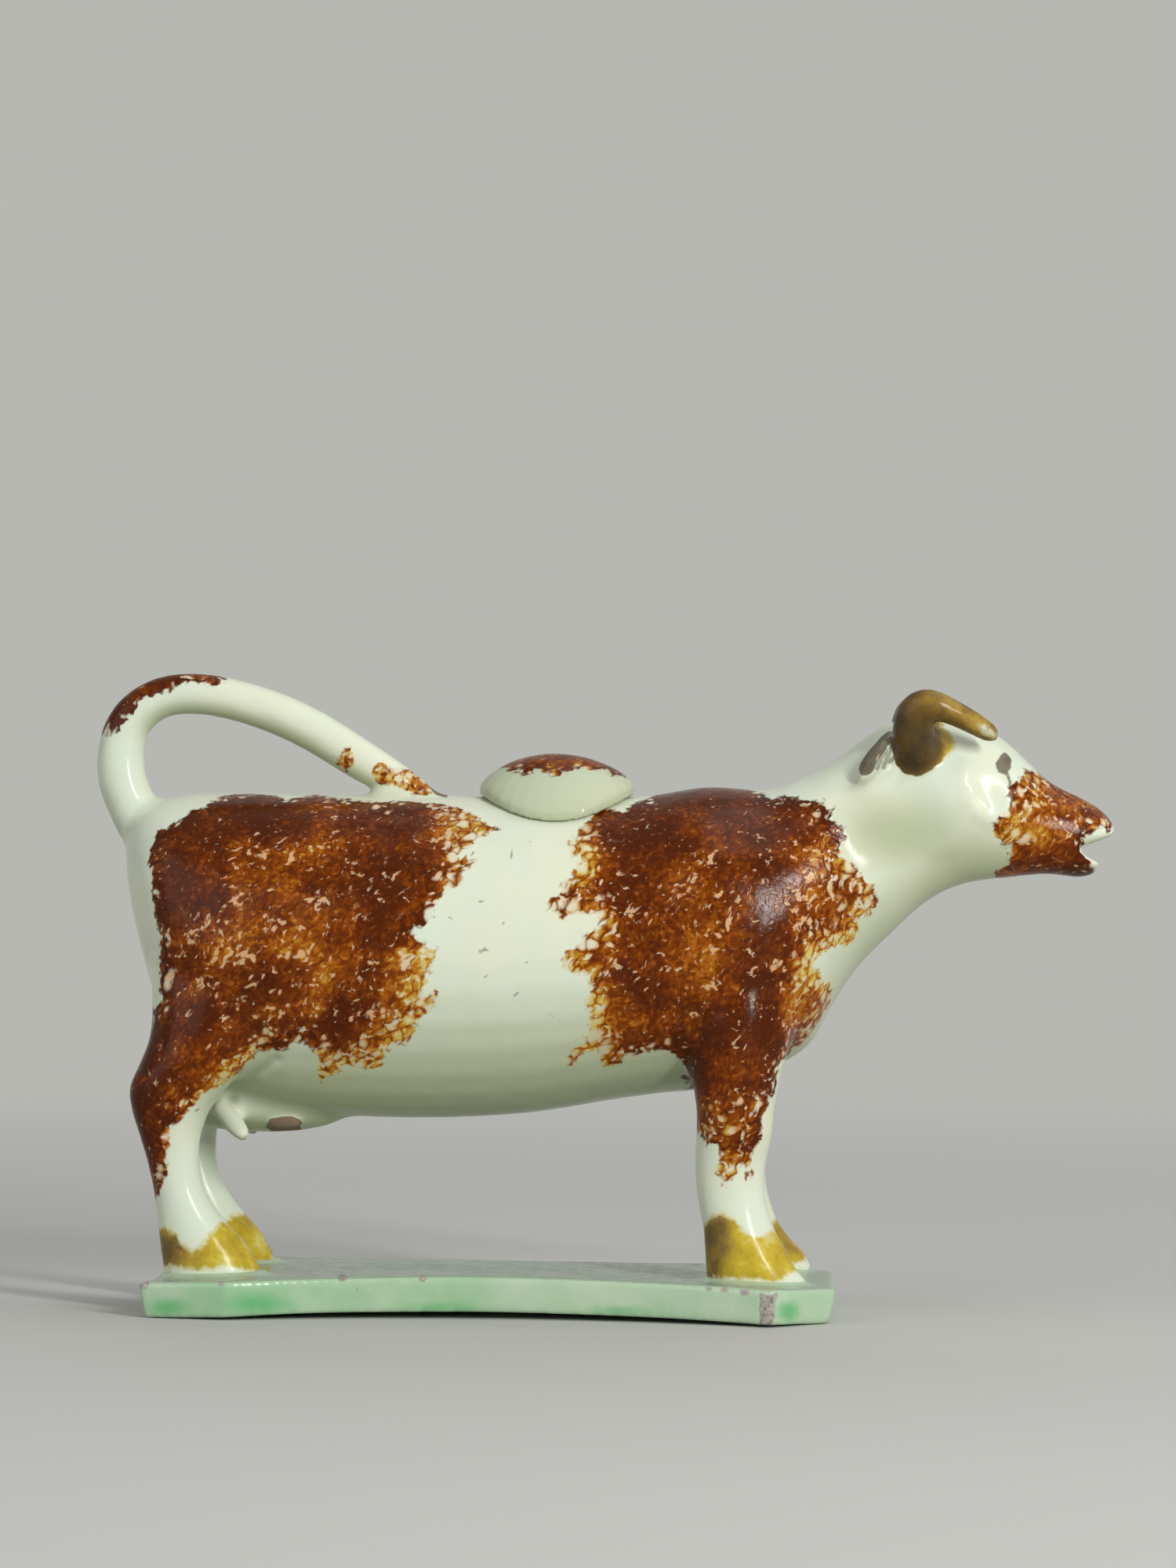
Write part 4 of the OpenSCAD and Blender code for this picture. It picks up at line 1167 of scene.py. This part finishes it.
@dataclass
class LutedCow:
    """The cow: every piece that is luted together and glazed as one.

    Lengths are millimetres, and pixels of the photograph where a name ends in px. A pair is where something
    fades in and where it is full. Shares are in the order in which the method that reads them names them.
    """

    view: PhotoView
    painter: Painter
    finish: bpy.types.Material
    grain: float = 0.5
    sight_slack: float = 0.7
    lute_width: float = 3.2
    lute_reach: float = 8.0
    facet_rounds: int = 34
    lute_rounds: int = 40
    hoof_height: float = 14.0
    lip_span: Pair = (95.0, 99.0)
    lip_firmness: float = 0.75
    tail_firmness: float = 0.85
    facet_shares: Triple = (0.12, 0.25, 0.6)
    lute_shares: Pair = (0.05, 0.35)
    teat_swell: float = 0.32
    teat_tip: float = 4.0
    teat_shift: Place = (-0.7, 0.0, 0.5)
    mouth_height: float = 79.9
    mouth_half: float = 1.3
    mouth_depth: float = 1.3
    mouth_span: Pair = (97.5, 100.5)
    jaw_span: Pair = (96.0, 103.0)
    jaw_back: float = 1.2
    ear_pinch: float = 0.4
    ear_shift: Place = (0.55, 0.0, 0.7)
    horn_shift: Place = (1.0, 0.0, -0.2)
    horn_tip_px: Pair = (1215.0, 1262.0)
    horn_foot_px: Pair = (-1212.0, -1178.0)
    toe_span: Pair = (46.0, 55.0)
    toe_height: float = 7.0
    far_toe_length: float = 1.8
    feature_reach: float = 70.0
    head_height: float = 78.0
    near_side: float = 2.0
    tail_gain: float = 0.7
    chest_cleft: tuple[Pair, Pair, Pair] = ((-9.5, -6.0), (36.0, 42.0), (-62.0, -56.0))
    leg_inside: tuple[Pair, Pair] = ((-0.1, 0.5), (-46.0, -40.0))
    horn_blend: float = 4.0
    stub_start: float = -38.0
    cupped_rounds: int = 18
    cupped_gain: float = 9.0
    # Shares of the hollow mark: pooled glaze along the lute lines, painted shade on the underside and painted shade on
    # the neck.
    pool_and_shade_shares: Triple = (0.35, 0.95, 0.8)
    shaded_rounds: int = 12
    shaded_fade: Pair = (1.9, 0.0)
    line_half: float = 0.28
    scuff_half: float = 0.22
    strand_half: float = 0.42
    pieces: tuple[tuple[str, str], ...] = (
        ("body_shell", "cream_glaze"), ("neck_and_head", "cream_glaze"), ("near_foreleg", "sponged_glaze"),
        ("far_foreleg", "sponged_glaze"), ("near_hind_leg", "sponged_glaze"), ("far_hind_leg", "sponged_glaze"),
        ("tail_handle", "sponged_glaze"), ("near_horn", "ochre_glaze"), ("far_horn", "ochre_glaze"),
        ("near_ear", "manganese_glaze"), ("far_ear", "manganese_glaze"), ("udder", "cream_glaze"),
        ("teats", "cream_glaze"))
    hollow_line: tuple[Place, ...] = (
        (-50, 0, 62), (36, 0, 64), (50, 0, 71), (58, 0, 78), (67, 0, 84), (76, 0, 85), (88, 0, 83), (98, 0, 80.5),
        (104, 0, 80.2))
    dents: tuple[Feature, ...] = (
        (((1262, 1012),), 2.7, -0.38), (((1281, 974),), 1.7, 0.4), (((1297, 1012),), 3.4, 0.3),
        (((1268, 955),), 2.6, 0.35), (((1206, 1002),), 4.5, 0.3), (((1136, 984),), 1.7, 0.35),
        (((1090, 1066),), 5.5, -1.4), (((1138, 1050),), 8.0, 0.5), (((1328, 1020),), 4.0, -0.25),
        (((1385, 1040),), 1.1, -0.35), (((1195, 1085),), 6.0, -0.4), (((470, 1180),), 12.0, 0.5),
        (((250, 1330),), 6.0, 0.5), (((640, 1240),), 14.0, 0.35))
    ridges: tuple[Feature, ...] = (
        (((1232, 975), (1228, 995), (1233, 1018), (1246, 1036), (1264, 1046), (1282, 1047)), 1.3, 0.26),
        (((1239, 1006), (1246, 1014), (1257, 1027)), 0.6, 0.22),
        (((914, 1110), (924, 1170), (926, 1240), (924, 1310), (922, 1400)), 8.0, 1.2),
        (((987, 1582), (994, 1598), (1001, 1612), (1006, 1624)), 0.7, -0.5),
        (((294, 1574), (305, 1590), (314, 1604), (319, 1614)), 0.7, -0.5),
        (((352, 1352), (325, 1372), (296, 1402), (270, 1432)), 0.9, -0.4),
        (((1290, 1083), (1320, 1084), (1350, 1084), (1368, 1082)), 0.8, -0.18))
    inner: np.ndarray = field(default_factory=lambda: np.zeros(0, dtype=bool))

    def names(self) -> list[str]:
        """Gives the names of the solids."""
        return [name for name, _ in self.pieces]

    def among(self, owner: np.ndarray, ending: str) -> np.ndarray:
        """Picks points by their solid.

        Args:
            owner: The number of each point's solid.
            ending: How the names of the wanted solids end.

        Returns:
            True for the points of those solids.
        """
        return np.isin(owner, [i for i, name in enumerate(self.names()) if name.endswith(ending)])

    def owners(self, points: np.ndarray) -> np.ndarray:
        """Finds the solid that each point belongs to.

        Args:
            points: Rows of x, y, z in millimetres.

        Returns:
            The number of the nearest solid, for each point.
        """
        tree, owner = solids_tree(self.names())
        return np.array([owner[tree.find_nearest(p)[2]] for p in points])

    def facing_hollow(self, clay: Clay, owner: np.ndarray) -> np.ndarray:
        """Finds the points on the inside of the hollow walls.

        Args:
            clay: The cow.
            owner: The number of each point's solid.

        Returns:
            True for the points that look into the hollow.
        """
        knots = np.array(self.hollow_line, dtype=float)
        line = np.concatenate([np.linspace(a, b, 30) for a, b in zip(knots[:-1], knots[1:])])
        tree = clay.tree()
        inner = np.zeros(len(clay.points), dtype=bool)
        for i in np.nonzero(self.among(owner, "body_shell") | self.among(owner, "neck_and_head"))[0]:
            point = clay.points[i]
            eye = line[np.argmin(((line - point) ** 2).sum(1))]
            gap = float(np.linalg.norm(point - eye))
            hit = tree.ray_cast(Vector(eye), Vector(point - eye))
            inner[i] = gap < 0.5 or (hit[3] is not None and hit[3] > gap - self.sight_slack)
        return inner

    def from_lute(self, clay: Clay, owner: np.ndarray) -> np.ndarray:
        """Measures how far each point is from the nearest line of luting.

        Args:
            clay: The cow.
            owner: The number of each point's solid.

        Returns:
            Millimetres along the surface, as far as that matters.
        """
        far = np.full(len(owner), FAR_OUT)
        far[clay.head[owner[clay.head] != owner[clay.tail]]] = self.grain / 2
        length = clay.edges()
        for _ in range(int(self.lute_reach / self.grain)):
            np.minimum.at(far, clay.head, far[clay.tail] + length)
        return far

    def on_skin(self, tree: BVHTree, pixel: Pixel) -> np.ndarray:
        """Finds the place on the near side that a pixel shows."""
        hit = tree.ray_cast(*self.view.ray(pixel))[0]
        if hit is None:
            raise ValueError(f"no clay under pixel {pixel}")
        return np.array(hit)

    def model(self, clay: Clay, features: Sequence[Feature]) -> None:
        """Raises and sinks round places and lines on both sides of the cow.

        Args:
            clay: The cow.
            features: Pixels, half width and height of each place or line, in millimetres.
        """
        tree, out = clay.tree(), clay.normals()
        shift = np.zeros(len(clay.points))
        for pixels, half, height in features:
            track = np.array([self.on_skin(tree, p) for p in pixels])
            for side in Flank:
                line = np.stack([track[:, 0], side.value * np.abs(track[:, 1]), track[:, 2]], -1)
                near = ((clay.points - line[0]) ** 2).sum(-1) < self.feature_reach ** 2
                shift[near] += height * np.exp(-(to_line(clay.points[near], line) / half) ** 2)
        clay.points = clay.points + (shift * np.where(self.inner, -1.0, 1.0))[:, None] * out

    def shape(self, clay: Clay, owner: np.ndarray) -> None:
        """Gives the pressed clay its soft joints and its modelled features.

        Args:
            clay: The cow.
            owner: The number of each point's solid.
        """
        teats, ears, horns, legs = (self.among(owner, ending) for ending in ("teats", "ear", "horn", "leg"))
        pressed = clay.points
        hooves = legs & (pressed[:, 2] < self.hoof_height)
        lips = step(pressed[:, 0], *self.lip_span)
        pliant = np.select([teats, ears | hooves, horns], self.facet_shares, 1.0) * (1 - self.lip_firmness * lips)
        for name in ("near_ear", "far_ear"):
            own = self.among(owner, name)
            off = pressed[own] - pressed[own].mean(0)
            way = np.linalg.svd(off, full_matrices=False)[2][1]
            pressed[own] += np.array(self.ear_shift) - self.ear_pinch * (off @ way)[:, None] * way
        clay.smooth(self.facet_rounds, clay.relax(pliant, 2))
        near_lute = step(-self.from_lute(clay, owner), -self.lute_width, -0.4)
        tail_end = step(pressed[:, 0], -50.0, -44.0) * step(-pressed[:, 0], 20.0, 26.0)
        tail_end *= step(pressed[:, 2], 82.0, 85.0)
        firm = (1 - lips) * (1 - self.tail_firmness * tail_end) * np.select([teats, ears], self.lute_shares, 1.0)
        clay.points = clay.relax(clay.points, self.lute_rounds, clay.relax(near_lute * firm, 2))
        clay.points = clay.points + (self.teat_swell * clay.relax(teats.astype(float), 2))[:, None] * clay.normals()
        lowest = clay.points[teats, 2].min()
        teat_tips = teats * step(-clay.points[:, 2], -lowest - self.teat_tip, -lowest)
        clay.points += teat_tips[:, None] * np.array(self.teat_shift)
        jaw = step(clay.points[:, 0], *self.jaw_span) * step(self.mouth_height - clay.points[:, 2], -0.3, 1.6)
        clay.points[:, 0] -= self.jaw_back * jaw
        self.shape_toes(clay, legs)
        horn_tips = clay.relax(horns * step(self.view.pixels(clay.points)[:, 0], *self.horn_tip_px), 2)
        clay.points += horn_tips[:, None] * np.array(self.horn_shift)
        mouth = np.exp(-((clay.points[:, 2] - self.mouth_height) / self.mouth_half) ** 2)
        clay.points[:, 0] -= self.mouth_depth * mouth * step(clay.points[:, 0], *self.mouth_span)
        self.model(clay, self.dents)
        self.model(clay, self.ridges)

    def shape_toes(self, clay: Clay, legs: np.ndarray) -> None:
        """Draws the toes of the forelegs forward and notches them above the hoof.

        Args:
            clay: The cow.
            legs: True for the points of the legs.
        """
        x, y, above = clay.points[:, 0], clay.points[:, 1], clay.points[:, 2] - self.toe_height
        toe = legs * step(x, *self.toe_span)
        far_toe = toe * (y > 0) * self.far_toe_length * step(-above, -8.0, 0.0)
        notch = 0.9 * np.exp(-(above / 1.2) ** 2) - 0.8 * np.exp(-((above - 3.2) / 1.8) ** 2)
        clay.points[:, 0] += clay.relax(far_toe + toe * (y < 0) * notch, 2)

    def sponged(self, clay: Clay, owner: np.ndarray, pixels: np.ndarray) -> np.ndarray:
        """Measures how far points lie inside the sponged patches.

        Args:
            clay: The cow.
            owner: The number of each point's solid.
            pixels: Each point's pixel.

        Returns:
            Millimetres inside, negative outside.
        """
        plan, paint, points = self.painter.plan, self.painter, clay.points
        sponge = paint.within(clay, pixels, (plan.rump, plan.shoulder, plan.muzzle, plan.tail_arc))
        sponge = np.maximum(sponge, paint.within(clay, pixels, (plan.tail_end, plan.tail_dab)) + self.tail_gain)
        middle, back, low = self.chest_cleft
        cleft = step(-np.abs(points[:, 1]), *middle) * step(-points[:, 0], *back) * step(-points[:, 2], *low)
        turned, short = self.leg_inside
        inward = step(-clay.normals()[:, 1] * np.sign(points[:, 1]), *turned) * step(-points[:, 2], *short)
        sponge = sponge - FAR_OUT * cleft - FAR_OUT * inward * self.among(owner, "leg")
        for ending in ("horn", "ear", "udder", "teats"):
            sponge = np.where(self.among(owner, ending), -FAR_OUT, sponge)
        rear = paint.within(clay, pixels, (plan.rump,))
        return np.where(self.among(owner, "tail_handle") & (rear > sponge - 0.01), -FAR_OUT, sponge)

    def mark(self, clay: Clay, owner: np.ndarray) -> None:
        """Stores where the decoration, the pooled glaze and the worn places lie.

        Args:
            clay: The cow.
            owner: The number of each point's solid.
        """
        plan, paint, points = self.painter.plan, self.painter, clay.points
        pixels, plain, straight = paint.seen(points), paint.folded(points), self.view.pixels(points)
        sponge = self.sponged(clay, owner, pixels)
        horns, ears, teats = (self.among(owner, ending) for ending in ("horn", "ear", "teats"))
        near, high = points[:, 1] < self.near_side, points[:, 2] > self.head_height
        ochre = paint.within(clay, plain, (plan.hind_hoof, plan.fore_hoof, plan.horn_root))
        ochre = clay.relax(np.where(horns, self.horn_blend, ochre), 3)
        ochre = np.where(near, np.minimum(ochre, -paint.within(clay, straight, (plan.horn_chip,))), ochre)
        foot = step(points[:, 2], self.head_height, self.head_height + self.horn_blend)
        horn = clay.relax(horns.astype(float), int(self.horn_blend / self.grain))
        horn = np.maximum(horn, foot * step(-plain[:, 0], *self.horn_foot_px))
        leaf = np.where(ears | high, paint.within(clay, plain, (plan.ear_leaf,)), -FAR_OUT)
        line = paint.strokes(plain, (plan.eye_line, plan.lip_line), self.line_half)
        grey = np.maximum.reduce([paint.within(clay, plain, (plan.eye,)), line, leaf])
        bare = np.where(near, paint.within(clay, straight, (plan.tail_chip, plan.scar)), -FAR_OUT)
        bare = np.where(teats & near & (points[:, 0] > self.stub_start), 2.0, bare)
        scuff = np.where(near, paint.strokes(straight, plan.scuffs, self.scuff_half), -FAR_OUT)
        strands = paint.strokes(plain, plan.strands, self.strand_half)
        scuff = np.where(high, np.maximum(scuff, strands), scuff)
        for values in (sponge, ochre, grey, bare, scuff):
            values[self.inner] = -FAR_OUT
        out = clay.normals()
        luted, under, shaded = self.pool_and_shade_shares
        # The hollow mark: darker glaze in concave places, partly pooled glaze and partly painted shade; pooled glaze
        # along the lute lines; painted shade on the downward-facing underside; painted shade over the neck.
        hollow = np.maximum.reduce([
            np.clip(clay.relax(clay.bend(out, self.grain), self.cupped_rounds) * self.cupped_gain, 0.0, 1.0),
            luted * step(-self.from_lute(clay, owner), -2.5, 0.0),
            under * step(-out[:, 2], -0.3, 1.0) * step(points[:, 2], 18.0, 30.0),
            shaded * clay.relax(paint.patches(plain, plan.shaded, self.shaded_fade), self.shaded_rounds)])
        clay.hold({
            Mark.SPONGE: clay.relax(sponge, 1), Mark.OCHRE: clay.relax(ochre, 2), Mark.GREY: clay.relax(grey, 1),
            Mark.BARE: clay.relax(bare, 1), Mark.SCUFF: scuff, Mark.POOL_AND_SHADE: hollow, Mark.THIN: paint.tone(pixels),
            Mark.HORN: horn, Mark.OPEN: paint.patches(pixels, plan.openings)})

    def build(self) -> None:
        """Shapes, marks and glazes the cow, and hands over one piece for each solid."""
        clay = fused("cow", self.names(), self.grain)
        low, high = (np.array(corner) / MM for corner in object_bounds())
        owner = self.owners(clay.points)
        self.inner = self.facing_hollow(clay, owner)
        self.shape(clay, owner)
        clay.points = np.clip(clay.points, low, high)
        self.mark(clay, owner)
        normals = clay.relax(clay.normals(), 2)
        normals /= np.maximum(np.linalg.norm(normals, axis=1)[:, None], 1e-9)
        lot = owner[[p.vertices[0] for p in clay.mesh.polygons]]
        for number, (node, slot) in enumerate(self.pieces):
            piece = part_of(clay.mesh, "glazed_" + node, lot == number, normals)
            finish_piece(piece, node, "cow", self.finish)
        bpy.data.meshes.remove(clay.mesh)


@dataclass
class LooseLid:
    """The lid: a low dome with a flange that drops into the filling hole."""

    painter: Painter
    finish: bpy.types.Material
    grain: float = 0.25
    rounds: int = 14
    rim: Pair = (1.3, 0.4)
    rim_firmness: float = 0.8
    # An even share of the darker pooled tone over the whole lid, and more on its downward-facing underside as painted
    # shade.
    pooled: Pair = (0.62, 0.3)
    thin: float = -0.2

    def build(self) -> bpy.types.Object:
        """Shapes, marks and glazes the lid.

        Returns:
            The piece.
        """
        clay = fused("lid", ("lid",), self.grain)
        low, high = (np.array(corner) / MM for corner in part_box("lid"))
        middle, reach = (low + high)[:2] / 2, (high - low)[0] / 2
        out_by = np.linalg.norm(clay.points[:, :2] - middle, axis=1)
        inside, outside = self.rim
        clay.smooth(self.rounds, 1 - self.rim_firmness * step(out_by, reach - inside, reach - outside))
        clay.points = np.clip(clay.points, low, high)
        up = clay.normals()[:, 2]
        sponge = self.painter.within(clay, self.painter.seen(clay.points), (self.painter.plan.lid_cap,))
        # even darkens the whole lid; under adds painted shade on the downward-facing underside.
        even, under = self.pooled
        clay.hold({
            Mark.SPONGE: np.where(up > 0.05, sponge, -FAR_OUT), Mark.OCHRE: -FAR_OUT, Mark.GREY: -FAR_OUT,
            Mark.BARE: -FAR_OUT, Mark.SCUFF: -FAR_OUT, Mark.POOL_AND_SHADE: even + under * step(-up, -0.6, 0.5),
            Mark.HORN: 0.0, Mark.OPEN: 0.0, Mark.THIN: self.thin})
        round_off(clay.mesh)
        return finish_piece(clay.mesh, "lid", "lid", self.finish)


@dataclass
class Plinth:
    """The slab that the cow stands on, bowed a little in the firing and chipped along its edges."""

    view: PhotoView
    finish: bpy.types.Material
    grain: float = 0.45
    rounds: int = 9
    bow: float = 1.2
    draft: float = 1.1
    draft_length: float = 14.0
    side_draft: float = 0.35
    side_span: Pair = (12.0, 20.0)
    pad_height: float = 0.75
    pad_width: float = 1.5
    pad_glaze: float = 1.8
    near_hoof: float = 6.0
    wobble: Triple = (0.12, 17.0, 5.0)
    chip_depth: float = 0.4
    pools: tuple[Oval, ...] = (
        (330, 1664, 38.0, 12.0), (1006, 1673, 13.0, 11.0), (215, 1668, 22.0, 10.0), (560, 1668, 60.0, 9.0),
        (790, 1672, 50.0, 9.0))
    faint_pool: float = 45.0
    pool_depths: Pair = (2.6, 1.4)
    edge_wear: Pair = (1.6, 0.9)
    chips: tuple[Triple, ...] = (
        (437, 1630, 0.55), (540, 1631, 0.5), (950, 1648, 0.55), (925, 1645, 0.4), (905, 1644, 0.35),
        (183, 1638, 0.7), (283, 1637, 0.35))
    repair: Outline = ((969, 1650), (978, 1652), (992, 1649), (989, 1664), (985, 1696), (969, 1696), (970, 1670))

    def build(self) -> bpy.types.Object:
        """Shapes, marks and glazes the plinth.

        Returns:
            The piece.
        """
        clay = fused("plinth", ("plinth",), self.grain)
        topside = clay.relax((clay.normals()[:, 2] > 0.9).astype(float), 3)
        clay.points = clay.relax(clay.points, self.rounds)
        pad = self.move(clay, topside)
        self.mark(clay, topside, pad)
        round_off(clay.mesh)
        return finish_piece(clay.mesh, "plinth", "cow", self.finish)

    def to_hooves(self, points: np.ndarray) -> np.ndarray:
        """Measures how far points lie from the hooves, as far as that matters."""
        tree, _ = solids_tree([name for name, _ in LutedCow.pieces if name.endswith("leg")])
        gaps = [tree.find_nearest(p, self.near_hoof)[3] for p in points]
        return np.array([self.near_hoof if gap is None else gap for gap in gaps])

    def move(self, clay: Clay, topside: np.ndarray) -> np.ndarray:
        """Bows the slab, drafts its ends and lays the glaze up round the hooves.

        Args:
            clay: The plinth.
            topside: How far each point belongs to the top.

        Returns:
            How far each point belongs to the glaze round the hooves.
        """
        low, high = (np.array(corner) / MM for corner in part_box("plinth"))
        p, half = clay.points, high[0]
        down = 1 - np.clip((p[:, 2] - low[2]) / (high[2] - low[2]), 0, 1)
        end, side = step(np.abs(p[:, 0]), half - self.draft_length, half), step(np.abs(p[:, 1]), *self.side_span)
        p[:, 0] -= np.sign(p[:, 0]) * self.draft * end * down ** 1.5
        p[:, 1] -= np.sign(p[:, 1]) * self.side_draft * down * side
        gap = self.to_hooves(p)
        p[:, 2] += self.bow * (1 - (p[:, 0] / half) ** 2)
        p[:, 2] += topside * self.pad_height * np.exp(-(gap / self.pad_width) ** 2)
        depth, wave, seed = self.wobble
        uneven = depth * ripple(p, wave, seed)
        clay.points = p + uneven[:, None] * clay.normals()
        clay.points[:, :2] = np.clip(clay.points[:, :2], low[:2], high[:2])
        clay.points[:, 2] = np.maximum(clay.points[:, 2], 0.0)
        return np.exp(-(gap / self.pad_glaze) ** 2) * topside

    def mark(self, clay: Clay, topside: np.ndarray, pad: np.ndarray) -> None:
        """Chips the edges and stores where the glaze pools, thins and is lost, and where the top is painted darker as
        shade.

        Args:
            clay: The plinth.
            topside: How far each point belongs to the top.
            pad: How far each point belongs to the glaze round the hooves.
        """
        out, pixels, scale = clay.normals(), self.view.pixels(clay.points), self.view.pixel_mm
        bare = inside_outline(pixels, self.repair) * scale
        for x, y, radius in self.chips:
            away = np.linalg.norm((pixels - np.array([x, y])) * scale * np.array([0.7, 1.0]), axis=1)
            bare = np.maximum(bare, radius - away)
        near = (clay.points[:, 1] < 0.0) & (out[:, 1] < 0.6)
        bare = np.where(near, np.clip(bare, -FAR_OUT, FAR_OUT), -FAR_OUT)
        clay.points = clay.points - (self.chip_depth * step(bare, -0.25, 0.5))[:, None] * out
        pool, (depth, faint) = np.full(len(bare), -FAR_OUT), self.pool_depths
        for flip in Flank:
            seen = pixels if flip is Flank.NEAR else self.view.pixels(clay.points * np.array([1, -1, 1]))
            side = (np.sign(clay.points[:, 1]) == flip.value) & (out[:, 2] < 0.5)
            for x, y, wide, tall in self.pools:
                away = np.hypot((seen[:, 0] - x) / wide, (seen[:, 1] - y) / tall)
                deep = (1 - away) * depth - faint * (wide > self.faint_pool)
                pool = np.maximum(pool, np.where(side, deep, -FAR_OUT))
        worn, padded = self.edge_wear
        edge = np.clip(-clay.relax(clay.bend(out, self.grain), 4) * worn, 0.0, 1.0)
        # The top mark is painted shade on the top face, away from the glaze round the hooves.
        clay.hold({Mark.BARE: bare, Mark.POOL: np.clip(pool, -FAR_OUT, FAR_OUT),
                   Mark.EDGE: np.maximum(edge, pad * padded), Mark.TOP: topside * (1 - pad)})


# --------------------------------------------------------------------------------------- the setting


@dataclass(frozen=True)
class Studio:
    """A plain pale floor, a plain pale background and soft light."""

    paper: Colour = (0.54, 0.54, 0.52)
    background: Colour = (0.478, 0.478, 0.45)
    half_floor: float = 6.0
    shaded_floor: Pair = (0.22, 0.75)
    daylight: float = 0.16
    day_tint: Colour = (1.0, 1.0, 0.985)
    aim: Place = (0.0, 0.0, 0.06)

    def seen(self, sheet: Sheet) -> Value:
        """Adds 1 for the rays that show the background, and 0 for those that only carry light."""
        path = sheet.add("ShaderNodeLightPath").outputs
        camera = Value(sheet, path["Is Camera Ray"])
        return camera.at_least(path["Is Transmission Ray"]).at_least(path["Is Glossy Ray"])

    def blend(self, sheet: Sheet, end: bpy.types.Node, share: Value, a: Any, b: Any) -> None:
        """Joins a mix of two shaders to the end of a tree."""
        sheet.feed(end.inputs["Surface"], sheet.node("ShaderNodeMixShader", {0: share, 1: a, 2: b}))

    def floor(self) -> bpy.types.Object:
        """Makes the floor, which turns into the plain background away from the object.

        Returns:
            The floor.
        """
        half = self.half_floor
        corners = [(-half, -half, 0.0), (half, -half, 0.0), (half, half, 0.0), (-half, half, 0.0)]
        mesh = bpy.data.meshes.new("floor")
        mesh.from_pydata(corners, [], [(0, 1, 2, 3)])
        coat = Coat("floor_paper")
        sheet = coat.sheet
        coat.shader.inputs["Base Color"].default_value = (*self.paper, 1.0)
        coat.shader.inputs["Roughness"].default_value = 0.8
        place = sheet.node("ShaderNodeTexCoord", {}, "Object")
        away = sheet.node("ShaderNodeVectorMath", {0: place}, "Value", operation="LENGTH")
        plain = sheet.node("ShaderNodeEmission", {"Color": (*self.background, 1.0)})
        share = self.seen(sheet) * away.rise(*self.shaded_floor)
        self.blend(sheet, coat.end, share, coat.shader.outputs[0], plain)
        mesh.materials.append(coat.material)
        floor = new_object("floor", mesh)
        floor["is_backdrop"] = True
        return floor

    def lamp(self, name: str, place: Place, size: Pair, power: float, tint: Colour, mirrored: bool = True) -> None:
        """Hangs a soft lamp.

        Args:
            name: The lamp's name.
            place: Where it hangs, in metres.
            size: Its width and height.
            power: Its power in watts.
            tint: Its colour.
            mirrored: Whether it shows in the gloss of the glaze.
        """
        data = bpy.data.lights.new(name, "AREA")
        data.shape, data.energy, data.color = "RECTANGLE", power, tint
        data.size, data.size_y = size
        lamp = new_object(name, data)
        way = Vector(self.aim) - Vector(place)
        lamp.matrix_world = Matrix.Translation(place) @ way.to_track_quat("-Z", "Y").to_matrix().to_4x4()
        lamp.visible_camera, lamp.visible_glossy = False, mirrored

    def build(self) -> None:
        """Makes the floor, the lamps, the daylight and the background."""
        self.floor()
        self.lamp("window", (0.72, -0.92, 0.46), (0.13, 0.48), 11.0, (1.0, 0.99, 0.965))
        self.lamp("door", (-0.85, -0.80, 0.55), (1.2, 1.0), 4.5, (1.0, 1.0, 0.98))
        self.lamp("back_room", (0.1, 1.30, 1.05), (1.4, 1.0), 4.5, (1.0, 1.0, 1.0), mirrored=False)
        self.lamp("sky", (0.6, 0.05, 1.50), (1.5, 1.4), 8.0, (0.98, 0.99, 1.0))
        world = bpy.data.worlds.new("daylight")
        world.use_nodes = True
        sheet, nodes = Sheet(world.node_tree), world.node_tree.nodes
        light = nodes["Background"]
        light.inputs["Color"].default_value = (*self.day_tint, 1.0)
        light.inputs["Strength"].default_value = self.daylight
        plain = sheet.node("ShaderNodeBackground", {"Color": (*self.background, 1.0)})
        end = next(n for n in nodes if n.type == "OUTPUT_WORLD")
        self.blend(sheet, end, self.seen(sheet), light.outputs[0], plain)
        bpy.context.scene.world = world
        bpy.context.scene.view_settings.view_transform = "Standard"


def main() -> None:
    """Builds the scene."""
    logging.basicConfig(level=logging.INFO, format="%(message)s")
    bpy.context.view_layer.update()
    view = PhotoView()
    view.place()
    painter = Painter(view, Decoration())
    effects = Effects()
    pearl = PearlGlaze().build("pearl_glaze", effects)
    green = GreenGlaze().build("green_glaze", effects)
    Plinth(view, green).build()
    LooseLid(painter, pearl).build()
    LutedCow(view, painter, pearl).build()
    Studio().build()


if __name__ == "__main__":
    main()
